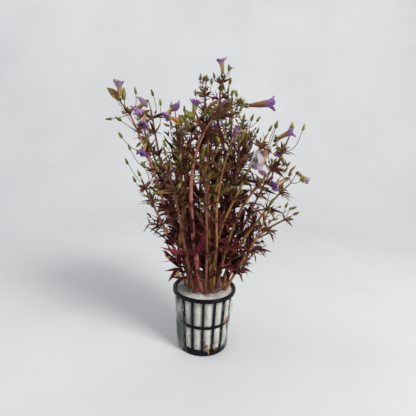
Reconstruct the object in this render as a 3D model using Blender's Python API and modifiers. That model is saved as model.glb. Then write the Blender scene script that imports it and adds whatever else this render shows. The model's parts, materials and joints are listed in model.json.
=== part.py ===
"""Rice paddy herb growing in a net pot filled with rock wool.

The pot stands on its base. Origin: centre of the pot's underside, +Z up, metres.
The shape tables below are in millimetres, and mm() turns them into metres.
"""

import math
import random

import bmesh
import bpy
from mathutils import Matrix, Vector
from mathutils.bvhtree import BVHTree

MM = 0.001
GAP = 0.3 * MM

# Net pot
POT_HEIGHT = 52.0 * MM
RIM_RADIUS = 26.0 * MM
RIM_BAND = 3.0 * MM
WALL_TOP_RADIUS = 24.0 * MM
WALL_BASE_RADIUS = 20.75 * MM
WALL_THICKNESS = 1.5 * MM
RIB_COUNT = 16
RIB_WIDTH = 2.1 * MM
HOOP_BOTTOM = 24.8 * MM
HOOP_TOP = 26.6 * MM
BASE_BAND = 5.0 * MM
BASE_THICKNESS = 1.6 * MM
BASE_SLOT_COUNT = 6
BASE_SLOT_WIDTH = 2.6 * MM
BASE_SLOT_INNER = 6.5 * MM
BASE_SLOT_OUTER = 16.5 * MM
RING_STEPS = 32

# Rock wool
WOOL_TOP = 49.7 * MM
WOOL_BULGE = 1.3 * MM

# Stems
STEM_SIDES = 4
BASE_RADIUS = 1.25 * MM
TIP_RADIUS = 0.6 * MM
THICK_BASE_RADIUS = 1.95 * MM
NODE_SWELL = 1.25
NODE_HALF_LENGTH = 0.7 * MM
FIRST_NODE = 17.0 * MM
LOW_SPACING = 25.0 * MM
HIGH_SPACING = 9.3 * MM

# Leaves, flower stalks and buds
LOW_LEAF_LENGTH = 24.0 * MM
HIGH_LEAF_LENGTH = 12.0 * MM
LEAF_THICKNESS = 0.6 * MM
LEAF_WIDEST = 0.42
KNOWN_LEAF_SLIMNESS = 0.17
LEAF_TRIES = 7
LEAF_FLOOR = 54.0 * MM
ROOT_WIDTH = 1.5 * MM
STALK_WIDTH = 0.8 * MM
BUD_LENGTH = 5.6 * MM
BUD_WIDTH = 2.5 * MM
BUD_REACH = 14.0 * MM
SITE_TRIES = 16
LONGEST_LEAF = 32.0 * MM
LONGEST_STALK = 36.0 * MM
END_REACH = 12.0 * MM
STALK_HOOKS = (0.0, 0.25, 0.5)
ROOT_CLEARANCE = 0.3 * MM
OWN_CLEARANCE = 0.8 * MM
TUBE_CLEARANCE = 1.8 * MM
CALYX_LENGTH = 3.0 * MM
CALYX_WIDTH = 2.1 * MM

# Points along each stem, from its foot just above the rock wool to its tip
STEM_ROUTES = {
    "stem_01": [(-11, 4, 50), (-18, -4, 86), (-31, -14, 120), (-42, -22, 158), (-54, -25, 186), (-57, -26, 191)],
    "stem_02": [(-11, 9, 50), (-16, 2, 80), (-28, -4, 122), (-36, -10, 156), (-42, -14, 191)],
    "stem_03": [(-6, 2, 50), (-12, 2, 84), (-18, 2, 108), (-22, 2, 140), (-26, 2, 187)],
    "stem_04": [(-3, -6, 50), (-6, -12, 74), (-10, -18, 104), (-12, -22, 136), (-9, -25, 162), (0, -28, 183),
                (12, -30, 195)],
    "stem_05": [(1, 5, 50), (2, 0, 72), (4, -6, 98), (6, -8, 130), (9, -8, 160), (11, -8, 179)],
    "stem_06": [(5, 2, 50), (7, -4, 80), (12, -14, 108), (21, -20, 133), (32, -26, 161), (39, -28, 177)],
    "stem_07": [(10, 9, 50), (12, 9, 90), (15, 9, 135), (17, 10, 170), (16, 10, 202)],
    "stem_08": [(15, 0, 50), (20, -5, 78), (29, -11, 97), (40, -14, 115), (50, -16, 131), (60, -18, 143)],
    "stem_09": [(17, 6, 50), (24, 6, 66), (35, 3, 86), (48, 0, 102), (66, -4, 115)],
    "stem_10": [(10, -4, 50), (16, -10, 88), (25, -16, 121), (38, -20, 143), (49, -20, 158), (56, -20, 177)],
    "stem_11": [(2, 9, 50), (3, 8, 90), (4, 6, 130), (6, 4, 186), (7, 4, 216)],
    "stem_12": [(-5, 11, 50), (-7, 9, 95), (-6, 5, 140), (-5, 2, 186), (-4, 2, 211)],
    "stem_13": [(-8, -4, 50), (-14, -9, 90), (-17, -11, 130), (-14, -12, 165), (-12, -12, 183)],
    "stem_14": [(5, -3, 50), (3, -12, 90), (0, -16, 130), (-1, -16, 165), (1, -14, 188)],
    "stem_15": [(7, -8, 50), (8, -21, 92), (7, -30, 128), (11, -35, 158), (18, -38, 177)],
    "stem_16": [(-12, 14, 50), (-24, 17, 95), (-38, 22, 135), (-49, 25, 163), (-55, 26, 178)],
    "stem_17": [(-8, 16, 50), (-15, 23, 100), (-21, 30, 145), (-26, 34, 180)],
    "stem_18": [(8, 15, 50), (15, 23, 98), (24, 29, 140), (32, 32, 173)],
    "stem_19": [(15, 12, 50), (27, 16, 88), (41, 19, 122), (53, 21, 150)],
    "stem_20": [(0, 17, 50), (-2, 30, 100), (0, 41, 150), (4, 48, 188)],
    "stem_21": [(-15, 0, 50), (-22, -7, 78), (-31, -16, 104), (-40, -26, 128), (-46, -30, 144)],
    "stem_22": [(16, -6, 50), (26, -13, 74), (36, -21, 99), (43, -26, 120)],
    "stem_23": [(-8, -11, 50), (-15, -25, 92), (-21, -37, 130), (-27, -45, 160)],
    "stem_24": [(1, -12, 50), (1, -27, 92), (-1, -39, 133), (-3, -47, 163)],
    "stem_25": [(-12, -5, 50), (-16, -15, 90), (-18, -22, 130), (-19, -26, 160), (-19, -27, 180)],
    "stem_26": [(11, 3, 50), (15, 1, 90), (19, -3, 130), (22, -6, 160), (24, -8, 184)],
}
THICK_STEM = "stem_04"
# Distances of the thick stem's nodes from its foot; the other stems' nodes follow a rule.
THICK_STEM_NODES = (30, 76, 110, 132, 143, 151)

# Tips of the few leaves that stand out
LEAF_TIPS = {
    "stem_04": [(-4, -18, 104), (-33, -16, 87), (4, -27, 138), (-33, -22, 132), (11, -34, 163), (-20, -27, 164),
                (13, -32, 196)],
    "stem_08": [(36, -3, 71)],
    "stem_21": [(-44, -12, 108)],
    "stem_22": [(34, -10, 70)],
}

# Tips of the closed buds that show best, stem by stem. Every other bud is placed by rule.
BUD_TIPS = {
    "stem_01": [(-72, -24, 183), (-65, -24, 185), (-64, -20, 175), (-58, -17, 167), (-60, -18, 157), (-51, -26, 205),
                (-67, -27, 204)],
    "stem_02": [(-53, -14, 164), (-50, -14, 151), (-42, -14, 205), (-36, -12, 199), (-49, -16, 180)],
    "stem_03": [(-29, 0, 198), (-20, 4, 196), (-36, 8, 182)],
    "stem_05": [(14, -8, 188), (17, -14, 160)],
    "stem_06": [(29, -26, 190), (46, -32, 184)],
    "stem_07": [(13, 10, 211), (19, 10, 209), (24, 8, 198)],
    "stem_08": [(62, -13, 158), (50, -20, 146)],
    "stem_09": [(63, -2, 126), (71, 0, 122)],
    "stem_10": [(45, -18, 191), (66, -18, 185)],
    "stem_11": [(12, 4, 226), (14, 3, 217), (1, 8, 221)],
    "stem_12": [(-8, 2, 219), (0, 1, 216), (-12, 4, 208)],
    "stem_21": [(-46, -30, 156), (-52, -30, 146), (-37, -26, 143)],
    "stem_22": [(47, -26, 133), (40, -31, 124), (52, -25, 118)],
}
# Where a tip of the tables has no free way to its stem, these shifts of it are tried in turn.
TIP_SHIFTS = ((0, 0, 0), (0, 4, 1), (0, -4, -1), (2, 0, -2), (-2, 0, -2), (0, 8, 2), (0, -8, -2), (2, 5, 2), (-2, 5, 2),
              (3, 3, -4), (-3, 3, -4), (0, 12, 3))
RULED_BUDS = {
    "stem_13": 2, "stem_14": 2, "stem_15": 3, "stem_16": 4, "stem_17": 4, "stem_18": 4, "stem_19": 4, "stem_20": 4,
    "stem_23": 4, "stem_24": 4, "stem_25": 4, "stem_26": 4,
}

# Each flower: the stem that carries it, the foot of its tube, a point that it faces,
# its length and the radius of its open mouth.
FLOWERS = {
    "flower_01": ("stem_01", (-60, -29, 198), (-60, -30, 208), 9.0, 3.8),
    "flower_02": ("stem_02", (-46, -17, 195), (-54, -19, 189), 9.0, 3.7),
    "flower_03": ("stem_02", (-45, -20, 187), (-46, -25, 179), 8.5, 3.5),
    "flower_04": ("stem_03", (-28, -5, 193), (-33, -10, 186), 9.0, 3.6),
    "flower_05": ("stem_01", (-43, -26, 168), (-46, -30, 160), 8.5, 3.5),
    "flower_06": ("stem_13", (-12, -13, 187), (-10, -14, 199), 11.5, 5.4),
    "flower_07": ("stem_14", (2, -14, 192), (11, -16, 197), 10.5, 3.8),
    "flower_08": ("stem_05", (6, -17, 175), (2, -24, 181), 7.5, 3.2),
    "flower_09": ("stem_06", (27, -22, 176), (17, -24, 179), 10.0, 3.6),
    "flower_10": ("stem_04", (25, -30, 195), (43, -31, 197), 17.0, 5.6),
    "flower_11": ("stem_10", (47, -24, 174), (58, -28, 181), 11.0, 4.0),
    "flower_12": ("stem_06", (41, -24, 164), (35, -26, 153), 12.0, 5.0),
    "flower_13": ("stem_10", (54, -15, 158), (49, -17, 165), 8.0, 3.2),
    "flower_15": ("stem_08", (66, -17, 149), (72, -16, 145), 8.0, 2.6),
    "flower_14": ("stem_08", (54, -25, 146), (45, -28, 142), 9.5, 4.8),
    "flower_16": ("stem_11", (8, 5, 219), (6, 5, 230), 10.5, 4.2),
    "flower_17": ("stem_07", (22, 7, 176), (27, 2, 168), 8.5, 3.5),
    "flower_18": ("stem_03", (-20, -3, 186), (-15, -8, 180), 8.0, 3.2),
}
TUBE_RADIUS = 1.0 * MM
THROAT_RADIUS = 2.1 * MM
LOBE_NOTCH = 0.74
FLOWER_STEPS = 10

PARTS = "rice_paddy_herb"
CUTTERS = "cutters"


def mm(point):
    """A point of the tables, in metres."""
    return Vector(point) * MM


def blend(start, end, share):
    """The value a share of the way from start to end."""
    return start + (end - start) * share


def clear_scene():
    """Take away everything that the scene starts with."""
    for thing in list(bpy.data.objects):
        bpy.data.objects.remove(thing)


def new_collection(name):
    """A collection of the scene."""
    collection = bpy.data.collections.new(name)
    bpy.context.scene.collection.children.link(collection)
    return collection


def new_material(name, colour, roughness):
    """A plain Principled material."""
    material = bpy.data.materials.new(name)
    material.use_nodes = True
    shader = material.node_tree.nodes["Principled BSDF"]
    shader.inputs["Base Color"].default_value = (*colour, 1.0)
    shader.inputs["Roughness"].default_value = roughness
    shader.inputs["Metallic"].default_value = 0.0
    return material


def new_object(name, bm, collection, materials, smooth_angle):
    """An object from a finished bmesh, shaded smooth up to an edge angle in degrees."""
    mesh = bpy.data.meshes.new(name)
    bm.to_mesh(mesh)
    bm.free()
    mesh.shade_smooth()
    mesh.set_sharp_from_angle(angle=math.radians(smooth_angle))
    for material in materials:
        mesh.materials.append(material)
    thing = bpy.data.objects.new(name, mesh)
    collection.objects.link(thing)
    return thing


def turned_ring(name, outline, collection):
    """A solid of revolution about Z from a closed outline of (radius, height) corners."""
    mesh = bpy.data.meshes.new(name)
    corners = [(radius, 0.0, height) for radius, height in outline]
    edges = [(index, (index + 1) % len(corners)) for index in range(len(corners))]
    mesh.from_pydata(corners, edges, [])
    thing = bpy.data.objects.new(name, mesh)
    collection.objects.link(thing)
    screw = thing.modifiers.new("turn", "SCREW")
    screw.steps = RING_STEPS
    screw.render_steps = RING_STEPS
    screw.use_merge_vertices = True
    screw.merge_threshold = 0.01 * MM
    screw.use_normal_calculate = True
    return thing


def join_or_cut(thing, other, operation):
    """One Boolean step between two objects."""
    step = thing.modifiers.new(other.name, "BOOLEAN")
    step.operation = operation
    step.object = other
    other.hide_render = True
    other.display_type = "WIRE"


def wall_radius(height):
    """Outer radius of the pot's tapered wall at a height."""
    return blend(WALL_BASE_RADIUS, WALL_TOP_RADIUS, height / POT_HEIGHT)


def band_outline(bottom, top, proud=0.0):
    """Outline of a band of the wall, outer side first, from its top corner down."""
    return [
        (wall_radius(top) + proud, top),
        (wall_radius(bottom) + proud, bottom),
        (wall_radius(bottom) - WALL_THICKNESS, bottom),
        (wall_radius(top) - WALL_THICKNESS, top),
    ]


def pot_ribs(collection):
    """The upright bars of the wall, as one mesh of separate leaning boxes."""
    bottom = BASE_BAND - 1.0 * MM
    top = POT_HEIGHT - RIM_BAND + 1.0 * MM
    bm = bmesh.new()
    for index in range(RIB_COUNT):
        turn = Matrix.Rotation(math.tau * index / RIB_COUNT, 4, "Z")
        corners = bmesh.ops.create_cube(bm, size=1.0)["verts"]
        for corner in corners:
            height = top if corner.co.z > 0 else bottom
            inset = 0.15 * MM if corner.co.x > 0 else WALL_THICKNESS - 0.15 * MM
            corner.co = turn @ Vector((wall_radius(height) - inset, corner.co.y * RIB_WIDTH, height))
    return new_object("pot_ribs", bm, collection, [], 30)


def base_slots(collection):
    """Cutter for the drain slots in the base."""
    bm = bmesh.new()
    length = BASE_SLOT_OUTER - BASE_SLOT_INNER
    for index in range(BASE_SLOT_COUNT):
        turn = Matrix.Rotation(math.tau * index / BASE_SLOT_COUNT, 4, "Z")
        place = Matrix.Translation((BASE_SLOT_INNER + length / 2, 0, 0))
        size = Matrix.Diagonal((length, BASE_SLOT_WIDTH, BASE_THICKNESS * 4, 1))
        bmesh.ops.create_cube(bm, size=1.0, matrix=turn @ place @ size)
    return new_object("base_slots", bm, collection, [], 30)


def make_pot(parts, cutters, material):
    """Net pot: base cup, ribs, hoop and a rim band that stands proud."""
    inner_base = WALL_BASE_RADIUS - WALL_THICKNESS
    cup = [
        (wall_radius(BASE_BAND), BASE_BAND),
        (WALL_BASE_RADIUS, 0.5 * MM),
        (WALL_BASE_RADIUS - 0.5 * MM, 0.0),
        (0.0, 0.0),
        (0.0, BASE_THICKNESS),
        (inner_base, BASE_THICKNESS),
        (wall_radius(BASE_BAND) - WALL_THICKNESS, BASE_BAND),
    ]
    rim = [
        (RIM_RADIUS - 0.4 * MM, POT_HEIGHT),
        (RIM_RADIUS, POT_HEIGHT - 0.5 * MM),
        (RIM_RADIUS, POT_HEIGHT - RIM_BAND),
        (wall_radius(POT_HEIGHT) - WALL_THICKNESS, POT_HEIGHT - RIM_BAND),
        (wall_radius(POT_HEIGHT) - WALL_THICKNESS, POT_HEIGHT),
    ]
    pot = turned_ring("net_pot", cup, parts)
    pot.data.materials.append(material)
    join_or_cut(pot, base_slots(cutters), "DIFFERENCE")
    join_or_cut(pot, pot_ribs(cutters), "UNION")
    join_or_cut(pot, turned_ring("pot_hoop", band_outline(HOOP_BOTTOM, HOOP_TOP, 0.15 * MM), cutters), "UNION")
    join_or_cut(pot, turned_ring("pot_rim", rim, cutters), "UNION")
    return pot


def make_wool(parts, material):
    """Rock wool that fills the pot and swells out between its bars."""
    slim = WALL_THICKNESS + GAP
    rows = [
        (BASE_THICKNESS + GAP, 0.0),
        (BASE_BAND + 0.4 * MM, 0.0),
        (BASE_BAND + 3.5 * MM, 1.0),
        (HOOP_BOTTOM - 3.0 * MM, 1.0),
        (HOOP_BOTTOM - 0.5 * MM, 0.0),
        (HOOP_TOP + 0.5 * MM, 0.0),
        (HOOP_TOP + 3.0 * MM, 1.0),
        (POT_HEIGHT - RIM_BAND - 4.0 * MM, 1.0),
        (POT_HEIGHT - RIM_BAND - 0.5 * MM, 0.0),
        (WOOL_TOP, 0.0),
    ]
    beside_bar = math.radians(4.1)
    offsets = [(-beside_bar, 0.0), (beside_bar, 0.0), (math.pi / RIB_COUNT, 1.0)]
    directions = []
    for bar in range(RIB_COUNT):
        for offset, swell in offsets:
            directions.append((math.tau * bar / RIB_COUNT + offset, swell))

    def place_ring(corners, row):
        height, row_swell = rows[row]
        ordered = sorted(corners, key=lambda corner: math.atan2(corner.co.y, corner.co.x) % math.tau)
        for corner, (angle, swell) in zip(ordered, directions[1:] + directions[:1]):
            side_share = 0.6 + 0.4 * math.cos(angle) ** 2
            radius = wall_radius(height) - slim + swell * row_swell * (slim + WOOL_BULGE * side_share)
            corner.co = Vector((radius * math.cos(angle), radius * math.sin(angle), height))

    bm = bmesh.new()
    steps = len(directions)
    bmesh.ops.create_cone(bm, cap_ends=True, segments=steps, radius1=1.0, radius2=1.0, depth=1.0,
                          matrix=Matrix.Rotation(-beside_bar / 2, 4, "Z"))
    bm.faces.ensure_lookup_table()
    top_face = max(bm.faces, key=lambda face: face.calc_center_median().z)
    bottom_face = min(bm.faces, key=lambda face: face.calc_center_median().z)
    place_ring(list(bottom_face.verts), 0)
    place_ring(list(top_face.verts), 1)
    for row in range(2, len(rows)):
        top_face = bmesh.ops.extrude_discrete_faces(bm, faces=[top_face])["faces"][0]
        place_ring(list(top_face.verts), row)
    return new_object("rock_wool", bm, parts, [material], 40)


def smooth_route(points, steps=12):
    """Close-set places on a smooth curve through the points."""
    ends = [points[0] * 2 - points[1]] + points + [points[-1] * 2 - points[-2]]
    places = []
    for before, start, end, after in zip(ends, ends[1:], ends[2:], ends[3:]):
        for step in range(steps):
            share = step / steps
            straight = start * 2 + (end - before) * share
            bend = (before * 2 - start * 5 + end * 4 - after) * share**2
            twist = (start * 3 - before - end * 3 + after) * share**3
            places.append((straight + bend + twist) * 0.5)
    places.append(points[-1].copy())
    return places


class Stem:
    """One stem's route, with its frame at any distance from the foot."""

    def __init__(self, name):
        self.name = name
        self.places = smooth_route([mm(point) for point in STEM_ROUTES[name]])
        self.distances = [0.0]
        for start, end in zip(self.places, self.places[1:]):
            self.distances.append(self.distances[-1] + (end - start).length)
        self.length = self.distances[-1]
        self.base_radius = THICK_BASE_RADIUS if name == THICK_STEM else BASE_RADIUS
        chance = random.Random(name)
        turn = chance.uniform(0, math.tau)
        self.side = Vector((math.cos(turn), math.sin(turn), 0))
        self.nodes = []
        distance = FIRST_NODE * chance.uniform(0.8, 1.5)
        if name == THICK_STEM:
            self.nodes = [distance * MM for distance in THICK_STEM_NODES]
            return
        while distance < self.length - 2 * MM:
            self.nodes.append(distance)
            share = (distance / self.length) ** 1.3
            distance += blend(LOW_SPACING, HIGH_SPACING, share) * chance.uniform(0.85, 1.15)

    def frame(self, distance):
        """Place and directions on the stem, as a matrix whose Z runs up the stem."""
        index = 0
        while index < len(self.distances) - 2 and self.distances[index + 1] < distance:
            index += 1
        start, end = self.places[index], self.places[index + 1]
        share = (distance - self.distances[index]) / (self.distances[index + 1] - self.distances[index])
        before = self.places[max(index - 1, 0)]
        after = self.places[min(index + 2, len(self.places) - 1)]
        along = blend(end - before, after - start, share).normalized()
        if distance == 0.0:
            along = Vector((0, 0, 1))
        side = (self.side - along * self.side.dot(along)).normalized()
        matrix = Matrix.Identity(4)
        for column, vector in enumerate((side, along.cross(side), along, blend(start, end, share))):
            matrix.col[column][:3] = vector
        return matrix

    def radius(self, distance):
        """Radius between two nodes."""
        return blend(self.base_radius, TIP_RADIUS, distance / self.length)

    def site(self, node, quarter):
        """Root point, outward direction and up direction of one face of a node."""
        distance = self.nodes[node]
        frame = self.frame(distance)
        angle = math.tau * (quarter + 0.5) / STEM_SIDES
        outward = frame.to_3x3() @ Vector((math.cos(angle), math.sin(angle), 0))
        reach = self.radius(distance) * NODE_SWELL * math.cos(math.pi / STEM_SIDES)
        return frame.translation + outward * reach, outward, frame.to_3x3() @ Vector((0, 0, 1))

    def end_site(self):
        """Root point, direction and a square direction of the stem's own end."""
        frame = self.frame(self.length)
        turn = frame.to_3x3()
        return frame.translation, turn @ Vector((0, 0, 1)), turn @ Vector((1, 1, 0)).normalized()


def halfway(line, heading):
    """The direction halfway between a line's and a heading, for a section at a bend."""
    return (line.normalized() + heading).normalized()


def sections_from(site, cuts):
    """Flat four-cornered sections of a leaf or stalk, each square to its own direction.

    The side is carried from the root face to each section by the least turn."""
    root, before, up = site
    side = before.cross(up).normalized()
    sections = []
    for centre, along, width, thickness in cuts:
        side = before.rotation_difference(along) @ side
        sections.append((centre, side, side.cross(along).normalized(), width, thickness))
        before = along
    return sections


def section_corners(cut, margin):
    """Corners of a section, pushed out by a margin."""
    centre, side, face_up, width, thickness = cut
    across = side * (width / 2 + margin)
    rise = face_up * (thickness / 2 + margin)
    return [centre - across - rise, centre + across - rise, centre + across + rise, centre - across + rise]


def leaf_shape(stem, node, quarter, attempt):
    """Sections and tip of one leaf, by a rule that each attempt varies."""
    chance = random.Random(f"{stem.name} leaf {node} {quarter} {attempt}")
    site = stem.site(node, quarter)
    root, outward, up = site
    share = stem.nodes[node] / stem.length
    length = blend(LOW_LEAF_LENGTH, HIGH_LEAF_LENGTH, share) * chance.uniform(0.75, 1.2) * 0.93**attempt
    width = length * chance.uniform(0.17, 0.23)
    lean = math.radians(chance.uniform(38, 80))
    sway = Matrix.Rotation(math.radians(chance.uniform(-30, 30)), 3, up)
    droop = chance.uniform(-0.05, 0.28) * length
    heading = (sway @ outward) * math.sin(lean) + up * math.cos(lean)
    middle = root + heading * length * LEAF_WIDEST
    tip = root + heading * length - Vector((0, 0, droop))
    return root, sections_from(site, [(middle, heading, width, LEAF_THICKNESS)]), tip


def known_leaf_shape(site, tip):
    """Section of a leaf that runs straight to a known tip."""
    root = site[0]
    line = tip - root
    middle = root + line * LEAF_WIDEST
    width = line.length * KNOWN_LEAF_SLIMNESS
    return root, sections_from(site, [(middle, line.normalized(), width, LEAF_THICKNESS)]), tip


def bud_shape(site, tip):
    """Sections of a bowed stalk that ends in a closed bud with its tip at a given point."""
    root, outward, up = site
    heading = ((tip - root).normalized() - outward * 0.35).normalized()
    foot = tip - heading * BUD_LENGTH
    belly = tip - heading * BUD_LENGTH * 0.6
    bend = blend(root, foot, 0.4) + outward * (foot - root).length * 0.16
    cuts = [
        (bend, (foot - root).normalized(), STALK_WIDTH, STALK_WIDTH),
        (foot, halfway(foot - bend, heading), STALK_WIDTH, STALK_WIDTH),
        (belly, heading, BUD_WIDTH, BUD_WIDTH),
    ]
    return root, sections_from(site, cuts), tip


def flower_stalk_shape(site, foot, facing, hook):
    """Sections of a bent stalk whose flat end meets the foot of a flower.

    The hook is how far the stalk swings out behind the flower, as a share of its length."""
    root, outward, up = site
    end = foot - facing * GAP
    cup = end - facing * CALYX_LENGTH
    bend = blend(root, cup, 0.5) + (outward * 0.12 - facing * hook) * (cup - root).length
    cuts = [
        (bend, (cup - root).normalized(), STALK_WIDTH, STALK_WIDTH),
        (cup, halfway(cup - bend, facing), STALK_WIDTH * 1.2, STALK_WIDTH * 1.2),
        (end, facing, CALYX_WIDTH, CALYX_WIDTH),
    ]
    return root, sections_from(site, cuts), None


class Room:
    """Remembers where there is something already, so that pieces keep clear of each other."""

    def __init__(self):
        self.taken = []

    @staticmethod
    def box(corners):
        low = Vector([min(corner[axis] for corner in corners) for axis in range(3)])
        high = Vector([max(corner[axis] for corner in corners) for axis in range(3)])
        return low, high

    def add(self, owner, corners, faces):
        low, high = self.box(corners)
        self.taken.append((owner, low, high, BVHTree.FromPolygons(corners, faces)))

    def add_mesh(self, owner, bm):
        corners = [corner.co.copy() for corner in bm.verts]
        bm.verts.index_update()
        self.add(owner, corners, [[corner.index for corner in face.verts] for face in bm.faces])

    def is_clear(self, matters, corners, faces):
        """Whether a solid keeps clear of all pieces whose owner matters."""
        low, high = self.box(corners)
        tree = BVHTree.FromPolygons(corners, faces)
        for owner, other_low, other_high, other in self.taken:
            if not matters(owner):
                continue
            apart = any(low[axis] > other_high[axis] or high[axis] < other_low[axis] for axis in range(3))
            if not apart and tree.overlap(other):
                return False
        return True


def growth_hull(shape, margin, start_gap=0.0):
    """Corners and faces of a leaf or stalk, from a little way off its root."""
    root, sections, tip = shape
    first = sections[0]
    distance = (first[0] - root).length
    share = min(start_gap / distance, 0.9)
    start_width = blend(ROOT_WIDTH, first[3], share)
    start = (blend(root, first[0], share), first[1], first[2], start_width, blend(ROOT_WIDTH, first[4], share))
    cuts = [start] + sections
    corners = []
    for cut in cuts:
        corners.extend(section_corners(cut, margin))
    faces = [[3, 2, 1, 0]]
    for row in range(len(cuts) - 1):
        low, high = row * 4, row * 4 + 4
        for side in range(4):
            after = (side + 1) % 4
            faces.append([low + side, low + after, high + after, high + side])
    last = (len(cuts) - 1) * 4
    if tip is None:
        faces.append([last, last + 1, last + 2, last + 3])
    else:
        end_heading = (tip - sections[-1][0]).normalized()
        corners.append(tip + end_heading * margin)
        for side in range(4):
            faces.append([last + side, last + (side + 1) % 4, len(corners) - 1])
    return corners, faces


def lowest(shape):
    """Lowest height of a leaf or stalk beyond its root."""
    root, sections, tip = shape
    heights = [cut[0].z for cut in sections]
    if tip is not None:
        heights.append(tip.z)
    return min(heights)


def tube_of(stem_name):
    """The owner's name that a stem's bare tube has in the room."""
    return stem_name + " tube"


def crosses_itself(corners, faces):
    """Whether two faces of a hull that share no corner cut each other."""
    tree = BVHTree.FromPolygons(corners, faces)
    return any(not set(faces[one]) & set(faces[other]) for one, other in tree.overlap(tree))


def take_if_clear(room, owner, shape, margin=1.5 * GAP):
    """Claim the room for a leaf or stalk if nothing else is there."""
    if lowest(shape) < LEAF_FLOOR or crosses_itself(*growth_hull(shape, 0.0)):
        return False
    tube = tube_of(owner)
    if not room.is_clear(lambda other: other not in (owner, tube), *growth_hull(shape, margin, ROOT_CLEARANCE)):
        return False
    if not room.is_clear(lambda other: other == owner, *growth_hull(shape, 0.5 * GAP, OWN_CLEARANCE)):
        return False
    if not room.is_clear(lambda other: other == tube, *growth_hull(shape, 0.0, TUBE_CLEARANCE)):
        return False
    room.add(owner, *growth_hull(shape, 0.0))
    return True


def free_sites(stem, used):
    """Faces of a stem's nodes that carry nothing yet."""
    for node in range(len(stem.nodes)):
        for quarter in range(STEM_SIDES):
            if (node, quarter) not in used:
                yield node, quarter


def best_sites(stem, used, target, reach, longest=LONGEST_STALK):
    """Free faces in order of how well a stalk from them would reach a target."""
    ranked = []
    for node, quarter in free_sites(stem, used):
        root, outward, up = stem.site(node, quarter)
        line = target - root
        facing = outward.dot(line.normalized())
        if facing > 0.04 and line.length < longest:
            ranked.append((abs(line.length - reach) + (1 - facing) * 6 * MM, node, quarter))
    return [(node, quarter) for cost, node, quarter in sorted(ranked)]


def plan_flower_stalks(stems, plans, room):
    """Give every flower its stalk."""
    for name, (stem_name, foot, target, length, mouth) in FLOWERS.items():
        stem, plan = stems[stem_name], plans[stem_name]
        facing = (mm(target) - mm(foot)).normalized()
        start = mm(foot) - facing * (CALYX_LENGTH + GAP)
        end, along, square = stem.end_site()
        line = start - end
        places = best_sites(stem, plan, start, BUD_REACH * 0.6)[:SITE_TRIES]
        if "end" not in plan and line.length < END_REACH and line.normalized().dot(along) > 0.3:
            places.insert(0, "end")
        for place, hook in ((place, hook) for place in places for hook in STALK_HOOKS):
            site = stem.end_site() if place == "end" else stem.site(*place)
            shape = flower_stalk_shape(site, mm(foot), facing, hook)
            if take_if_clear(room, stem_name, shape, GAP * 0.5):
                plan[place] = ("stalk", shape)
                break
        else:
            print("no stalk for", name)


def plan_known_tip(stem, plan, room, kind, make_shape, tip, reach, longest):
    """Reach a tip of the tables, or a place close to it, from the node that suits it best."""
    for shift in TIP_SHIFTS:
        place = mm(tip) + mm(shift)
        for node, quarter in best_sites(stem, plan, place, reach, longest)[:SITE_TRIES]:
            shape = make_shape(stem.site(node, quarter), place)
            if take_if_clear(room, stem.name, shape):
                plan[node, quarter] = (kind, shape)
                return
    print("no", kind, "at", stem.name, tip)


def plan_buds(stems, plans, room):
    """Buds at their known tips, then a few by rule on the stems at the back and front."""
    for stem_name, tips in BUD_TIPS.items():
        for tip in tips:
            plan_known_tip(stems[stem_name], plans[stem_name], room, "bud", bud_shape, tip, BUD_REACH, LONGEST_STALK)
    for stem_name, stem in stems.items():
        root, along, square = stem.end_site()
        shape = bud_shape((root, along, square), root + along * (BUD_LENGTH + 1.5 * MM))
        if "end" not in plans[stem_name] and take_if_clear(room, stem_name, shape):
            plans[stem_name]["end"] = ("bud", shape)
    for stem_name, count in RULED_BUDS.items():
        stem, plan = stems[stem_name], plans[stem_name]
        for index in range(count):
            node = len(stem.nodes) - 1 - index // 2
            quarter = (index * 2 + node) % STEM_SIDES
            for attempt in range(SITE_TRIES):
                chance = random.Random(f"{stem_name} bud {index} {attempt}")
                root, outward, up = stem.site(node, quarter)
                spread = outward * chance.uniform(0.5, 1.1) + Vector((0, 0, chance.uniform(0.4, 1.1)))
                tip = root + spread.normalized() * BUD_REACH * chance.uniform(0.8, 1.3)
                shape = bud_shape(stem.site(node, quarter), tip)
                if take_if_clear(room, stem_name, shape):
                    plan[node, quarter] = ("bud", shape)
                    break


def plan_known_leaves(stems, plans, room):
    """The leaves that stand out, each from the node that suits it."""
    for stem_name, tips in LEAF_TIPS.items():
        stem, plan = stems[stem_name], plans[stem_name]
        for tip in tips:
            plan_known_tip(stem, plan, room, "leaf", known_leaf_shape, tip, LOW_LEAF_LENGTH, LONGEST_LEAF)


def plan_leaves(stems, plans, room):
    """Whorls of leaves at every node, where there is room for them."""
    for stem_name, stem in stems.items():
        plan = plans[stem_name]
        for node in range(len(stem.nodes)):
            chance = random.Random(f"{stem_name} whorl {node}")
            wanted = chance.choice((2, 2, 3, 3))
            first = chance.randrange(STEM_SIDES)
            grown = 0
            for step in range(STEM_SIDES):
                quarter = (first + step) % STEM_SIDES
                if grown == wanted or (node, quarter) in plan:
                    continue
                for attempt in range(LEAF_TRIES):
                    shape = leaf_shape(stem, node, quarter, attempt)
                    if take_if_clear(room, stem_name, shape):
                        plan[node, quarter] = ("leaf", shape)
                        grown += 1
                        break


def pull_face(bm, face, rule):
    """Draw a face out into a new length of the solid; the rule moves its corners."""
    new_face = bmesh.ops.extrude_discrete_faces(bm, faces=[face])["faces"][0]
    for corner in new_face.verts:
        corner.co = rule(corner.co)
    return new_face


def side_faces(face):
    """The faces round a face's edge."""
    return [other for edge in face.edges for other in edge.link_faces if other is not face]


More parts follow.
